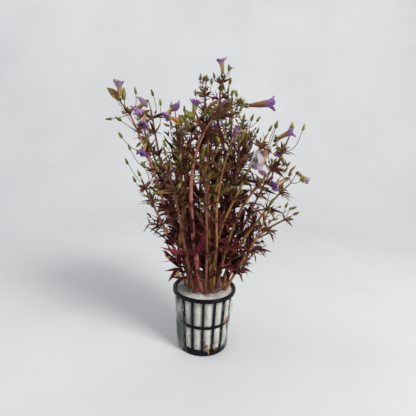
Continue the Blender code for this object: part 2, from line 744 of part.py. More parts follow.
def grow(bm, face, shape, up, material_index):
    """Grow a leaf or stalk out of one face of a node."""
    root, sections, tip = shape
    middle = face.calc_center_median()
    across = face.normal.cross(up)
    current = face
    order = [((corner.co - middle).dot(across) > 0, (corner.co - middle).dot(up) > 0) for corner in face.verts]
    for centre, side, face_up, width, thickness in sections:
        current = bmesh.ops.extrude_discrete_faces(bm, faces=[current])["faces"][0]
        for corner, (right, high) in zip(current.verts, order):
            corner.co = (centre + side * (width / 2 * (1 if right else -1))
                         + face_up * (thickness / 2 * (1 if high else -1)))
        for grown in side_faces(current):
            grown.material_index = material_index
    if tip is None:
        current.material_index = material_index
        return
    fan = bmesh.ops.poke(bm, faces=[current])
    fan["verts"][0].co = tip
    for grown in fan["faces"]:
        grown.material_index = material_index


def stem_tube(stem):
    """The bare stem as a square tube with a swelling at each node, and the faces of each node."""
    bm = bmesh.new()
    stations = [(0.0, stem.radius(0.0), None)]
    for node, distance in enumerate(stem.nodes):
        radius = stem.radius(distance) * NODE_SWELL
        stations.append((distance - NODE_HALF_LENGTH, radius, None))
        stations.append((distance + NODE_HALF_LENGTH, radius, node))
    stations.append((stem.length, TIP_RADIUS, None))
    first, second = stations[0], stations[1]
    bmesh.ops.create_cone(bm, cap_ends=True, segments=STEM_SIDES, radius1=1.0, radius2=1.0, depth=1.0)
    frames = [stem.frame(distance) for distance, radius, node in stations]
    top_face = max(bm.faces, key=lambda face: face.calc_center_median().z)
    for corner in bm.verts:
        station = 1 if corner.co.z > 0 else 0
        radius = stations[station][1]
        corner.co = frames[station] @ Vector((corner.co.x * radius, corner.co.y * radius, 0))
    node_faces = {}
    for index in range(1, len(stations) - 1):
        scale = Matrix.Scale(stations[index + 1][1] / stations[index][1], 4)
        carry = frames[index + 1] @ scale @ frames[index].inverted()
        top_face = pull_face(bm, top_face, lambda corner: carry @ corner)
        node = stations[index + 1][2]
        if node is not None:
            node_faces[node] = side_faces(top_face)
    bm.normal_update()
    return bm, node_faces, top_face


def make_stems(parts, materials, flower_meshes):
    """Every stem with the leaves, stalks and buds that grow from it."""
    stems = {name: Stem(name) for name in STEM_ROUTES}
    plans = {name: {} for name in STEM_ROUTES}
    room = Room()
    tubes = {}
    for name, stem in stems.items():
        tubes[name] = stem_tube(stem)
        room.add_mesh(tube_of(name), tubes[name][0])
    for name, bm in flower_meshes.items():
        room.add_mesh(name, bm)
    plan_flower_stalks(stems, plans, room)
    plan_buds(stems, plans, room)
    plan_known_leaves(stems, plans, room)
    plan_leaves(stems, plans, room)
    slots = {"leaf": 1, "bud": 2, "stalk": 2}
    for name, stem in stems.items():
        bm, node_faces, top_face = tubes[name]
        end_kind, end_shape = plans[name].pop("end", (None, None))
        if end_shape is not None:
            grow(bm, top_face, end_shape, stem.end_site()[2], slots[end_kind])
        for (node, quarter), (kind, shape) in plans[name].items():
            root, outward, up = stem.site(node, quarter)
            face = min(node_faces[node], key=lambda side: (side.calc_center_median() - root).length)
            node_faces[node] = [side for side in node_faces[node] if side is not face]
            grow(bm, face, shape, up, slots[kind])
        new_object(name, bm, parts, materials, 50)


def flower_mesh(name, foot, target, length, mouth):
    """Tube that widens to a throat, with a five-lobed mouth hollowed at its middle."""
    facing = (mm(target) - mm(foot)).normalized()
    roll = random.Random(name).uniform(0, math.tau)
    frame = Matrix.Translation(mm(foot)) @ facing.to_track_quat("Z", "Y").to_matrix().to_4x4()
    frame = frame @ Matrix.Rotation(roll, 4, "Z")
    length, mouth = length * MM, mouth * MM
    rings = [
        (0.0, TUBE_RADIUS, 1.0),
        (0.7 * length, THROAT_RADIUS, 1.0),
        (length, mouth, LOBE_NOTCH),
        (length * 0.93, THROAT_RADIUS * 0.75, 1.0),
    ]
    bm = bmesh.new()
    bmesh.ops.create_cone(bm, cap_ends=True, segments=FLOWER_STEPS, radius1=1.0, radius2=1.0, depth=1.0)
    top_face = max(bm.faces, key=lambda face: face.calc_center_median().z)
    angles = {}

    def place_ring(corners, ring):
        height, radius, notch = rings[ring]
        for corner in corners:
            angle = math.atan2(corner.co.y, corner.co.x)
            step = round(angle / math.tau * FLOWER_STEPS) % FLOWER_STEPS
            reach = radius * (notch if step % 2 else 1.0)
            corner.co = Vector((reach * math.cos(angle), reach * math.sin(angle), height))

    place_ring([corner for corner in bm.verts if corner.co.z < 0], 0)
    place_ring(list(top_face.verts), 1)
    for ring in range(2, len(rings)):
        top_face = bmesh.ops.extrude_discrete_faces(bm, faces=[top_face])["faces"][0]
        place_ring(list(top_face.verts), ring)
    bmesh.ops.transform(bm, matrix=frame, verts=bm.verts)
    return bm


def main():
    clear_scene()
    parts = new_collection(PARTS)
    cutters = new_collection(CUTTERS)
    black = new_material("pot_black", (0.012, 0.012, 0.015), 0.35)
    wool = new_material("wool_white", (0.72, 0.72, 0.68), 0.95)
    stem = new_material("stem_red_brown", (0.30, 0.12, 0.07), 0.5)
    leaf = new_material("leaf_maroon", (0.10, 0.015, 0.03), 0.5)
    bud = new_material("bud_olive", (0.22, 0.24, 0.05), 0.55)
    petal = new_material("petal_violet", (0.36, 0.17, 0.42), 0.6)
    make_pot(parts, cutters, black)
    make_wool(parts, wool)
    flower_meshes = {}
    for name, (stem_name, foot, target, length, mouth) in FLOWERS.items():
        flower_meshes[name] = flower_mesh(name, foot, target, length, mouth)
    make_stems(parts, [stem, leaf, bud], flower_meshes)
    for name, bm in flower_meshes.items():
        new_object(name, bm, parts, [petal], 50)


main()
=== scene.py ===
import bisect
import json
import math
import random

import bmesh
import bpy
from mathutils import Matrix, Vector, noise
from mathutils.kdtree import KDTree

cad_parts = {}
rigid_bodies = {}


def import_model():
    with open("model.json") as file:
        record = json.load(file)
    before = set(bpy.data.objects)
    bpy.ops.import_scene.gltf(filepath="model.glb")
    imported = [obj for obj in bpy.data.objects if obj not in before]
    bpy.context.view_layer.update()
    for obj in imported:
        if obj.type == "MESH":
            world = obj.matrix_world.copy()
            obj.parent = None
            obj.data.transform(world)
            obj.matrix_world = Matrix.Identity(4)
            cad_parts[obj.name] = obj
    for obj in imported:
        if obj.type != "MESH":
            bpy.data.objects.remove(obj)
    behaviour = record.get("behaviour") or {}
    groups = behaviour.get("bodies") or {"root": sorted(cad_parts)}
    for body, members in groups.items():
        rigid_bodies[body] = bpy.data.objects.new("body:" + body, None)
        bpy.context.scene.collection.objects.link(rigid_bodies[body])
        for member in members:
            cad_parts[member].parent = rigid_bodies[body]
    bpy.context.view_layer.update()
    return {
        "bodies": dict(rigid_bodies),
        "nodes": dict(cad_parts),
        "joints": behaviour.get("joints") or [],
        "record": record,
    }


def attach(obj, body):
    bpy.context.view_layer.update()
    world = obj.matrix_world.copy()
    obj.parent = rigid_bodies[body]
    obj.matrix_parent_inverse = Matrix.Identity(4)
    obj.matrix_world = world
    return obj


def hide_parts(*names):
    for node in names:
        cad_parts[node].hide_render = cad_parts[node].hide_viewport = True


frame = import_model()
mm = 0.001
tau = math.tau
noise.seed_set(5)  # without it the flowers' crumples change from run to run
print("frame loaded")

# ---- camera, floor and light

stageValues = {
    "cameraPlace": (0.0007, -0.269646, 0.178473),
    "cameraDown": 12.6,  # degrees below level
    "cameraRoll": 2.06,  # degrees
    "cameraLens": 30.29,  # millimetres on a 36 mm sensor
    "cameraNear": 0.01,  # metres
    "floorFront": -3.0,  # metres from the pot's axis
    "wallDistance": 0.8,
    "wallBend": 0.35,  # radius of the backdrop's bend
    "wallHeight": 2.5,
    "halfWidth": 3.0,
    "floorPale": (0.66, 0.67, 0.68),
    "floorDeep": (0.61, 0.62, 0.63),
    "skyColour": (0.95, 0.98, 1.0),
    "skyStrength": 0.40,
    # place, point that it faces, size in metres, power in watts, colour
    "lamps": {
        "windowLight": ((0.72, -0.66, 0.92), (0.0, 0.0, 0.12), 0.42, 15.5, (1.0, 0.985, 0.96)),
        "roomLight": ((-0.6, -1.2, 0.8), (0.0, 0.0, 0.12), 1.2, 3.0, (0.97, 0.98, 1.0)),
        "wallLight": ((-0.7, 0.1, 0.9), (-0.1, 0.8, 0.5), 0.9, 3.4, (1.0, 1.0, 1.0)),
    },
}


def addObject(name, data):
    made = bpy.data.objects.new(name, data)
    bpy.context.collection.objects.link(made)
    return made


def makeCamera(values):
    data = bpy.data.cameras.new("photoCamera")
    data.lens = values["cameraLens"]
    data.sensor_width = 36.0
    data.clip_start = values["cameraNear"]
    camera = addObject("photoCamera", data)
    tilt = Matrix.Rotation(math.radians(90.0 - values["cameraDown"]), 4, "X")
    roll = Matrix.Rotation(math.radians(values["cameraRoll"]), 4, "Z")
    camera.matrix_world = Matrix.Translation(values["cameraPlace"]) @ tilt @ roll
    bpy.context.scene.camera = camera


def makeLights(values):
    for name, (place, target, size, power, colour) in values["lamps"].items():
        data = bpy.data.lights.new(name, "AREA")
        data.size = size
        data.energy = power
        data.color = colour
        lamp = addObject(name, data)
        lamp.location = place
        lamp.rotation_euler = (Vector(target) - Vector(place)).to_track_quat("-Z", "Y").to_euler()
    world = bpy.data.worlds.new("softSky")
    world.use_nodes = True
    sky = world.node_tree.nodes["Background"]
    sky.inputs["Color"].default_value = (*values["skyColour"], 1.0)
    sky.inputs["Strength"].default_value = values["skyStrength"]
    bpy.context.scene.world = world
    bpy.context.scene.view_settings.view_transform = "Standard"


makeCamera(stageValues)
makeLights(stageValues)
print("camera and lights made")

# ---- shader helpers and shared node groups


def setSocket(tree, socket, value):
    if isinstance(value, bpy.types.NodeSocket):
        tree.links.new(value, socket)
    elif socket.type == "RGBA":
        socket.default_value = (*value, 1.0)
    else:
        socket.default_value = value


def addNode(tree, kind, settings=None, **inputs):
    made = tree.nodes.new("ShaderNode" + kind)
    for name, value in (settings or {}).items():
        setattr(made, name, value)
    for name, value in inputs.items():
        setSocket(tree, made.inputs[name.replace("_", " ")], value)
    return made


def useGroup(tree, group, **inputs):
    return addNode(tree, "Group", {"node_tree": group}, **inputs).outputs


def calculate(tree, operation, *values):
    made = addNode(tree, "Math", {"operation": operation})
    for socket, value in zip(made.inputs, values):
        setSocket(tree, socket, value)
    return made.outputs[0]


def mixColours(tree, factor, first, second, mode="MIX"):
    made = addNode(tree, "Mix", {"data_type": "RGBA", "blend_type": mode})
    for index, value in ((0, factor), (6, first), (7, second)):
        setSocket(tree, made.inputs[index], value)
    return made.outputs[2]


def remap(tree, value, low, high, newLow=0.0, newHigh=1.0):
    made = addNode(tree, "MapRange", {"interpolation_type": "SMOOTHSTEP"}, Value=value, From_Min=low,
                   From_Max=high, To_Min=newLow, To_Max=newHigh)
    return made.outputs["Result"]


def colourRamp(tree, value, stops):
    made = addNode(tree, "ValToRGB", Fac=value)
    ramp = made.color_ramp
    while len(ramp.elements) < len(stops):
        ramp.elements.new(0.5)
    for element, (place, colour) in zip(ramp.elements, stops.items()):
        element.position = place
        element.color = (*colour, 1.0)
    return made.outputs["Color"]


def ownPlace(tree):
    return addNode(tree, "TexCoord").outputs["Object"]


def ownGrain(tree):
    # across a piece's growth in X and along it in Y
    laid = addNode(tree, "UVMap", {"uv_map": "grain"}).outputs["UV"]
    return addNode(tree, "SeparateXYZ", Vector=laid).outputs


def clouds(tree, scale, detail, roughness=0.5):
    return addNode(tree, "TexNoise", Vector=ownPlace(tree), Scale=scale, Detail=detail,
                   Roughness=roughness).outputs["Fac"]


def newGroup(name, inputs, outputs):
    group = bpy.data.node_groups.new(name, "ShaderNodeTree")
    for label, value in inputs.items():
        colour = isinstance(value, tuple)
        socket = group.interface.new_socket(label, in_out="INPUT",
                                            socket_type="NodeSocketColor" if colour else "NodeSocketFloat")
        socket.default_value = (*value, 1.0) if colour else value
    for label, kind in outputs.items():
        group.interface.new_socket(label, in_out="OUTPUT", socket_type="NodeSocket" + kind)
    return group, group.nodes.new("NodeGroupInput").outputs, group.nodes.new("NodeGroupOutput").inputs


# blotches of one colour in another
mottle, given, result = newGroup("mottle", {"Ground": (0.5, 0.5, 0.5), "Blotch": (0.4, 0.4, 0.4), "Scale": 200.0,
                                            "Amount": 1.0}, {"Colour": "Color"})
cover = calculate(mottle, "MULTIPLY", remap(mottle, clouds(mottle, given["Scale"], 5.0, 0.6), 0.36, 0.66),
                  given["Amount"])
mottle.links.new(mixColours(mottle, cover, given["Ground"], given["Blotch"]), result["Colour"])

# fine relief and uneven gloss
skinGrain, given, result = newGroup("skinGrain", {"Scale": 1500.0, "Depth": 0.1, "Gloss low": 0.4,
                                                  "Gloss high": 0.6}, {"Normal": "Vector", "Roughness": "Float"})
bump = addNode(skinGrain, "Bump", Height=clouds(skinGrain, given["Scale"], 4.0, 0.55), Strength=given["Depth"],
               Distance=0.0003)
skinGrain.links.new(bump.outputs["Normal"], result["Normal"])
gloss = addNode(skinGrain, "MapRange", Value=clouds(skinGrain, 260.0, 3.0), From_Min=0.3, From_Max=0.7,
                To_Min=given["Gloss low"], To_Max=given["Gloss high"])
skinGrain.links.new(gloss.outputs["Result"], result["Roughness"])

# streaks that run along a stem, tube or petal
streaks, given, result = newGroup("streaks", {"Around": 14.0, "Along": 3.0, "Low": 0.45, "High": 0.62},
                                  {"Mask": "Float"})
parted = ownGrain(streaks)
stretched = addNode(streaks, "CombineXYZ", X=calculate(streaks, "MULTIPLY", parted["X"], given["Around"]),
                    Y=calculate(streaks, "MULTIPLY", parted["Y"], given["Along"]))
lines = addNode(streaks, "TexNoise", Vector=stretched.outputs["Vector"], Scale=1.0, Detail=3.0, Roughness=0.6)
streaks.links.new(remap(streaks, lines.outputs["Fac"], given["Low"], given["High"]), result["Mask"])

# what each growth is painted with: shade is its own chance, or a set value that for the stems is partly painted
# shade, along runs from root to tip, hue is its colour family and extra marks undersides, nodes or faded limbs
looks, given, result = newGroup("looks", {}, {"Shade": "Float", "Along": "Float", "Hue": "Float",
                                              "Extra": "Float"})
stored = addNode(looks, "Attribute", {"attribute_name": "look"})
parted = addNode(looks, "SeparateColor", Color=stored.outputs["Color"])
for channel, label in (("Red", "Shade"), ("Green", "Along"), ("Blue", "Hue")):
    looks.links.new(parted.outputs[channel], result[label])
looks.links.new(stored.outputs["Alpha"], result["Extra"])

# a ragged patch of colour round one place, for real stains and for painted shade
stain, given, result = newGroup("stain", {"Ground": (0.5, 0.5, 0.5), "Stain": (0.4, 0.2, 0.1), "X": 0.0,
                                          "Y": 0.0, "Z": 0.0, "Reach": 0.005}, {"Colour": "Color"})
centre = addNode(stain, "CombineXYZ", X=given["X"], Y=given["Y"], Z=given["Z"]).outputs["Vector"]
away = addNode(stain, "VectorMath", {"operation": "DISTANCE"})
stain.links.new(ownPlace(stain), away.inputs[0])
stain.links.new(centre, away.inputs[1])
edge = calculate(stain, "MULTIPLY_ADD", clouds(stain, 420.0, 4.0), 0.009, away.outputs["Value"])
cover = remap(stain, calculate(stain, "DIVIDE", edge, given["Reach"]), 0.9, 1.6, 1.0, 0.0)
stain.links.new(mixColours(stain, cover, given["Ground"], given["Stain"]), result["Colour"])


def mottled(tree, ground, blotch, scale, amount=1.0):
    return useGroup(tree, mottle, Ground=ground, Blotch=blotch, Scale=scale, Amount=amount)["Colour"]


def streakMask(tree, around, along, low=0.45, high=0.62, amount=1.0):
    mask = useGroup(tree, streaks, Around=around, Along=along, Low=low, High=high)["Mask"]
    return calculate(tree, "MULTIPLY", mask, amount)


def dimmed(tree, colour, dim):
    level = addNode(tree, "CombineColor", Red=dim, Green=dim, Blue=dim).outputs["Color"]
    return mixColours(tree, 1.0, colour, level, "MULTIPLY")


def newMaterial(name, **fixed):
    material = bpy.data.materials.new(name)
    material.use_nodes = True
    for label, value in fixed.items():
        material.node_tree.nodes["Principled BSDF"].inputs[label.replace("_", " ")].default_value = value
    return material, material.node_tree


def finishMaterial(material, colour, scale, depth, glossLow, glossHigh):
    tree = material.node_tree
    shader = tree.nodes["Principled BSDF"]
    grain = useGroup(tree, skinGrain, Scale=scale, Depth=depth, Gloss_low=glossLow, Gloss_high=glossHigh)
    for value, label in ((colour, "Base Color"), (grain["Roughness"], "Roughness"), (grain["Normal"], "Normal")):
        tree.links.new(value, shader.inputs[label])
    return material


# ---- materials; a set of numbered colours is a ramp, from hue 0 to 1 where nothing else is said

colourValues = {
    "plastic": (0.0008, 0.001, 0.003),
    "plasticWorn": (0.0025, 0.003, 0.007),
    "plasticDust": (0.14, 0.14, 0.14),
    "woolSkinPale": (0.64, 0.63, 0.58),
    "woolSkinDeep": (0.43, 0.43, 0.39),
    "woolThreadPale": (0.72, 0.72, 0.69),
    "woolThreadDeep": (0.52, 0.52, 0.49),
    "woolPores": (0.26, 0.26, 0.235),
    "stem": {0.0: (0.56, 0.19, 0.145), 0.5: (0.46, 0.175, 0.075), 1.0: (0.50, 0.30, 0.055)},
    "stemStreaks": {0.0: (0.235, 0.058, 0.048), 0.5: (0.155, 0.042, 0.024), 1.0: (0.165, 0.078, 0.020)},
    "stemGlow": (0.11, 0.065, 0.03),
    "stemNodes": (0.13, 0.022, 0.024),
    "leaf": {0.0: (0.056, 0.0080, 0.011), 0.35: (0.110, 0.019, 0.017), 0.65: (0.165, 0.150, 0.018),
             0.8: (0.20, 0.055, 0.018), 1.0: (0.30, 0.009, 0.058)},
    "leafPatches": (0.042, 0.012, 0.009),
    "leafVeins": (0.30, 0.10, 0.055),
    "leafUnderside": (0.15, 0.022, 0.032),
    "leafTip": (0.055, 0.022, 0.014),
    "bud": {0.0: (0.170, 0.225, 0.022), 0.4: (0.30, 0.28, 0.040), 0.7: (0.36, 0.215, 0.045),
            1.0: (0.22, 0.095, 0.030)},
    "budRidges": (0.075, 0.060, 0.018),
    "budTip": (0.20, 0.13, 0.035),
    "stalk": {0.0: (0.20, 0.060, 0.045), 0.6: (0.20, 0.100, 0.060), 1.0: (0.17, 0.15, 0.05)},  # foot to tip
    "stalkStreaks": (0.10, 0.035, 0.028),
    "stalkOlive": (0.19, 0.135, 0.050),
    "flowerTube": {0.0: (0.46, 0.38, 0.13), 0.5: (0.33, 0.20, 0.055), 1.0: (0.13, 0.040, 0.018)},
    "tubeStreaks": (0.17, 0.050, 0.028),
    "flowerLimb": {0.0: (0.46, 0.40, 0.50), 0.5: (0.33, 0.185, 0.39), 1.0: (0.155, 0.050, 0.27)},  # pale to deep
    # painted shade in the limb's creases
    "limbCreases": (0.55, 0.40, 0.68),
    "withered": {0.0: (0.52, 0.33, 0.10), 0.5: (0.38, 0.17, 0.045), 1.0: (0.13, 0.050, 0.022)},
    "witheredStreaks": (0.115, 0.042, 0.018),
    "witheredLilac": (0.36, 0.22, 0.40),
    "faded": {0.2: (0.44, 0.38, 0.41), 0.45: (0.30, 0.15, 0.37)},
    "fadedVeins": (0.28, 0.20, 0.29),
    "fadedFoot": (0.30, 0.22, 0.10),
}


def floorMaterial(values):
    material, tree = newMaterial("paleFloor")
    colour = mottled(tree, values["floorPale"], values["floorDeep"], 3.0)
    return finishMaterial(material, colour, 90.0, 0.02, 0.6, 0.8)


def plasticMaterial(tones):
    material, tree = newMaterial("potPlastic", Specular_IOR_Level=0.14)
    film = remap(tree, clouds(tree, 120.0, 2.0), 0.5, 0.75, 0.0, 0.3)
    dust = calculate(tree, "MULTIPLY", remap(tree, clouds(tree, 1500.0, 3.0), 0.6, 0.75), film)
    colour = mottled(tree, tones["plastic"], tones["plasticWorn"], 160.0)
    colour = mixColours(tree, dust, colour, tones["plasticDust"])
    return finishMaterial(material, colour, 1900.0, 0.12, 0.2, 0.38)


def woolMaterial(tones, name):
    material, tree = newMaterial(name, Sheen_Weight=0.25, Sheen_Roughness=0.6)
    pores = remap(tree, clouds(tree, 900.0, 5.0, 0.7), 0.30, 0.52, 0.6, 0.0)
    colour = mottled(tree, tones[name + "Pale"], tones[name + "Deep"], 190.0, 0.8)
    colour = mixColours(tree, pores, colour, tones["woolPores"])
    # real stains, and painted shade on the wool's left side, top left and bottom edge
    for tone, (x, y, z), reach in woolValues["stainsAndShade"]:
        colour = useGroup(tree, stain, Ground=colour, Stain=tone, X=x, Y=y, Z=z, Reach=reach)["Colour"]
    return finishMaterial(material, colour, 1400.0, 0.9, 0.85, 0.98)


def stemMaterial(tones):
    material, tree = newMaterial("stemSkin", Specular_IOR_Level=0.28, Subsurface_Weight=0.05,
                                 Subsurface_Scale=0.001)
    look = useGroup(tree, looks)
    skin = colourRamp(tree, look["Hue"], tones["stem"])
    dark = colourRamp(tree, look["Hue"], tones["stemStreaks"])
    colour = mixColours(tree, streakMask(tree, 11.0, 16.0, 0.46, 0.68), skin, dark)
    colour = mixColours(tree, 0.6, colour, mottled(tree, (0.0, 0.0, 0.0), tones["stemGlow"], 320.0), "ADD")
    colour = mixColours(tree, look["Extra"], colour, tones["stemNodes"])
    # painted shade: darker at the foot, among the other stems, and near the tip, where leaves cross in front; the
    # stem's set lightness below is partly painted shade too
    dim = calculate(tree, "MULTIPLY", remap(tree, look["Along"], 0.0, 0.25, 0.85, 1.0),
                    remap(tree, look["Along"], 0.62, 0.86, 1.0, 0.66))
    dim = calculate(tree, "MULTIPLY", dim, remap(tree, look["Shade"], 0.0, 1.0, 0.42, 1.0))
    return finishMaterial(material, dimmed(tree, colour, dim), 1700.0, 0.35, 0.36, 0.55)


def leafMaterial(tones):
    material, tree = newMaterial("leafBlade", Specular_IOR_Level=0.16, Subsurface_Weight=0.03,
                                 Subsurface_Scale=0.0006)
    look = useGroup(tree, looks)
    patches = remap(tree, clouds(tree, 380.0, 4.0), 0.38, 0.72, 0.0, 0.6)
    colour = mixColours(tree, patches, colourRamp(tree, look["Hue"], tones["leaf"]), tones["leafPatches"])
    # a midrib and the slanting veins beside it
    own = ownGrain(tree)
    across = calculate(tree, "ABSOLUTE", calculate(tree, "SUBTRACT", own["X"], 0.5))
    slant = calculate(tree, "MULTIPLY_ADD", across, -0.45, own["Y"])
    waves = calculate(tree, "SINE", calculate(tree, "MULTIPLY", slant, 62.0))
    midrib = remap(tree, across, 0.0, 0.11, 0.55, 0.0)
    lined = calculate(tree, "MAXIMUM", midrib, remap(tree, waves, 0.75, 1.0, 0.0, 0.28))
    colour = mixColours(tree, lined, colour, mixColours(tree, 0.6, colour, tones["leafVeins"]))
    colour = mixColours(tree, calculate(tree, "MULTIPLY", look["Extra"], 0.4), colour, tones["leafUnderside"])
    colour = mixColours(tree, remap(tree, look["Along"], 0.8, 1.0, 0.0, 0.5), colour, tones["leafTip"])
    colour = dimmed(tree, colour, remap(tree, look["Shade"], 0.0, 1.0, 0.55, 1.0))
    return finishMaterial(material, colour, 1300.0, 0.4, 0.38, 0.55)


def budMaterial(tones):
    material, tree = newMaterial("budSkin", Specular_IOR_Level=0.22, Subsurface_Weight=0.08,
                                 Subsurface_Scale=0.0008)
    look = useGroup(tree, looks)
    skin = colourRamp(tree, look["Hue"], tones["bud"])
    colour = mixColours(tree, streakMask(tree, 9.0, 2.0, 0.4, 0.6, 0.65), skin, tones["budRidges"])
    colour = mixColours(tree, remap(tree, look["Along"], 0.72, 1.0, 0.0, 0.6), colour, tones["budTip"])
    colour = dimmed(tree, colour, remap(tree, look["Shade"], 0.0, 1.0, 0.6, 1.05))
    return finishMaterial(material, colour, 1600.0, 0.35, 0.4, 0.6)


def stalkMaterial(tones):
    material, tree = newMaterial("stalkSkin", Specular_IOR_Level=0.22)
    look = useGroup(tree, looks)
    skin = colourRamp(tree, look["Along"], tones["stalk"])
    colour = mixColours(tree, streakMask(tree, 5.0, 9.0, amount=0.5), skin, tones["stalkStreaks"])
    colour = mixColours(tree, look["Hue"], colour, tones["stalkOlive"])
    return finishMaterial(material, colour, 1800.0, 0.2, 0.4, 0.6)


def petalMaterial(tones):
    material, tree = newMaterial("petalSkin", Specular_IOR_Level=0.3, Subsurface_Weight=0.2, Subsurface_Scale=0.0008,
                                 Sheen_Weight=0.15)
    look = useGroup(tree, looks)
    tube = colourRamp(tree, look["Hue"], tones["flowerTube"])
    tube = mixColours(tree, streakMask(tree, 24.0, 1.2, 0.44, 0.58, 0.8), tube, tones["tubeStreaks"])
    limb = colourRamp(tree, look["Extra"], tones["flowerLimb"])
    # painted shade: darker violet streaks on the limb, in its creases
    creaseShaded = mixColours(tree, 1.0, limb, tones["limbCreases"], "MULTIPLY")
    limb = mixColours(tree, streakMask(tree, 30.0, 7.0, 0.42, 0.62, 0.8), limb, creaseShaded)
    colour = mixColours(tree, remap(tree, look["Along"], 0.44, 0.68), tube, limb)
    return finishMaterial(material, colour, 1500.0, 0.4, 0.5, 0.7)


def witheredMaterial(tones):
    material, tree = newMaterial("witheredSkin", Specular_IOR_Level=0.35)
    look = useGroup(tree, looks)
    skin = colourRamp(tree, look["Hue"], tones["withered"])
    colour = mixColours(tree, streakMask(tree, 10.0, 1.5, amount=0.75), skin, tones["witheredStreaks"])
    # what is left of the petals' colour, on the inside and not on golden bits
    lilac = calculate(tree, "MULTIPLY", look["Extra"], remap(tree, look["Hue"], 0.3, 0.5))
    colour = mixColours(tree, lilac, colour, tones["witheredLilac"])
    return finishMaterial(material, colour, 1300.0, 0.6, 0.5, 0.7)


def fadedMaterial(tones):
    # a limp petal, nearly without colour
    material, tree = newMaterial("fadedPetal", Specular_IOR_Level=0.3, Subsurface_Weight=0.3, Subsurface_Scale=0.001)
    look = useGroup(tree, looks)
    skin = colourRamp(tree, look["Hue"], tones["faded"])
    colour = mixColours(tree, streakMask(tree, 9.0, 1.5, amount=0.6), skin, tones["fadedVeins"])
    colour = mixColours(tree, remap(tree, look["Along"], 0.0, 0.25, 0.8, 0.0), colour, tones["fadedFoot"])
    return finishMaterial(material, colour, 1100.0, 0.5, 0.35, 0.6)


# ---- shapes that are used many times, each in its own simple coordinates


def clamp(value, low=0.0, high=1.0):
    return max(low, min(high, value))


def blend(start, end, share):
    return start + (end - start) * share


def newMesh():
    bm = bmesh.new()
    bm.loops.layers.uv.new("grain")
    bm.verts.layers.float_color.new("look")
    return bm


def keepMesh(name, bm):
    mesh = bpy.data.meshes.new(name)
    bm.to_mesh(mesh)
    bm.free()
    return mesh


def wrapUv(bm, low, high):
    # around goes into U and height into V, with the seam kept inside one column of faces
    uv = bm.loops.layers.uv["grain"]
    for face in bm.faces:
        middle = face.calc_center_median()
        centre = math.atan2(middle.y, middle.x)
        for loop in face.loops:
            co = loop.vert.co
            turn = (math.atan2(co.y, co.x) - centre + math.pi) % tau - math.pi
            loop[uv].uv = ((centre + turn) / tau, (co.z - low) / (high - low))


def tubeShape(name, sides, rings, capped=True):
    # a round tube of radius 1 from height 0 to 1
    bm = newMesh()
    bmesh.ops.create_cone(bm, cap_ends=capped, segments=sides, radius1=1.0, radius2=1.0, depth=1.0)
    upright = [edge for edge in bm.edges if abs(edge.verts[0].co.z - edge.verts[1].co.z) > 0.5]
    bmesh.ops.subdivide_edges(bm, edges=upright, cuts=rings - 1, use_grid_fill=True)
    bmesh.ops.translate(bm, verts=bm.verts, vec=(0.0, 0.0, 0.5))
    look = bm.verts.layers.float_color["look"]
    for vert in bm.verts:
        vert[look] = (0.0, vert.co.z, 0.0, 0.0)
    wrapUv(bm, 0.0, 1.0)
    return keepMesh(name, bm)


def podShape(name, sides, rings):
    # a ball whose height runs evenly from 0 to 1, for buds and pods
    bm = newMesh()
    bmesh.ops.create_uvsphere(bm, u_segments=sides, v_segments=rings, radius=1.0)
    look = bm.verts.layers.float_color["look"]
    for vert in bm.verts:
        height = math.acos(clamp(-vert.co.z, -1.0)) / math.pi
        flat = Vector((vert.co.x, vert.co.y))
        if flat.length > 0.001:
            flat.normalize()
        else:
            flat = Vector((0.0, 0.0))
        vert.co = (flat.x, flat.y, height)
        vert[look] = (0.0, height, 0.0, 0.0)
    wrapUv(bm, 0.0, 1.0)
    return keepMesh(name, bm)


def leafShape(name, lengthSteps, widthSteps):
    # a flat sheet with thickness: X from 0 to 1, Y from -1 to 1, and Z 0 below and 1 above
    bm = newMesh()
    bmesh.ops.create_grid(bm, x_segments=lengthSteps, y_segments=widthSteps, size=1.0)
    uv = bm.loops.layers.uv["grain"]
    for face in bm.faces:
        for loop in face.loops:
            loop[uv].uv = (loop.vert.co.y * 0.5 + 0.5, loop.vert.co.x * 0.5 + 0.5)
    bmesh.ops.solidify(bm, geom=list(bm.faces), thickness=1.0)
    lowest = min(vert.co.z for vert in bm.verts)
    look = bm.verts.layers.float_color["look"]
    for vert in bm.verts:
        vert.co = ((vert.co.x + 1.0) / 2.0, vert.co.y, round(vert.co.z - lowest))
        vert[look] = (0.0, vert.co.x, 0.0, 1.0 - vert.co.z)
    bmesh.ops.recalc_face_normals(bm, faces=bm.faces)
    return keepMesh(name, bm)


shapes = {
    "stem": tubeShape("stemShape", 10, 84),
    "stalk": tubeShape("stalkShape", 6, 8),
    "shoot": tubeShape("shootShape", 6, 12),
    "fibre": tubeShape("fibreShape", 3, 4),
    "bud": podShape("budShape", 10, 7),
    "pod": podShape("podShape", 14, 12),
    "leaf": leafShape("leafShape", 9, 2),
    "bigLeaf": leafShape("bigLeafShape", 16, 6),
    "smallLeaf": leafShape("smallLeafShape", 6, 2),
    "twigLeaf": leafShape("twigLeafShape", 5, 2),
}


def addCopy(bm, shape, rule, hue, chance, slotIndex, extra=None, shade=None):
    # one copy of a shape, with every corner moved by the rule
    firstVert, firstFace = len(bm.verts), len(bm.faces)
    bm.from_mesh(shapes[shape])
    bm.verts.ensure_lookup_table()
    bm.faces.ensure_lookup_table()
    look = bm.verts.layers.float_color["look"]
    drawn = chance.random()
    shade = drawn if shade is None else shade
    for vert in bm.verts[firstVert:]:
        kept = vert[look]
        tone = hue(vert.co) if callable(hue) else hue
        vert[look] = (shade, kept[1], tone, kept[3] if extra is None else extra(vert.co))
        vert.co = rule(vert.co)
    for face in bm.faces[firstFace:]:
        face.material_index = slotIndex
        face.smooth = True


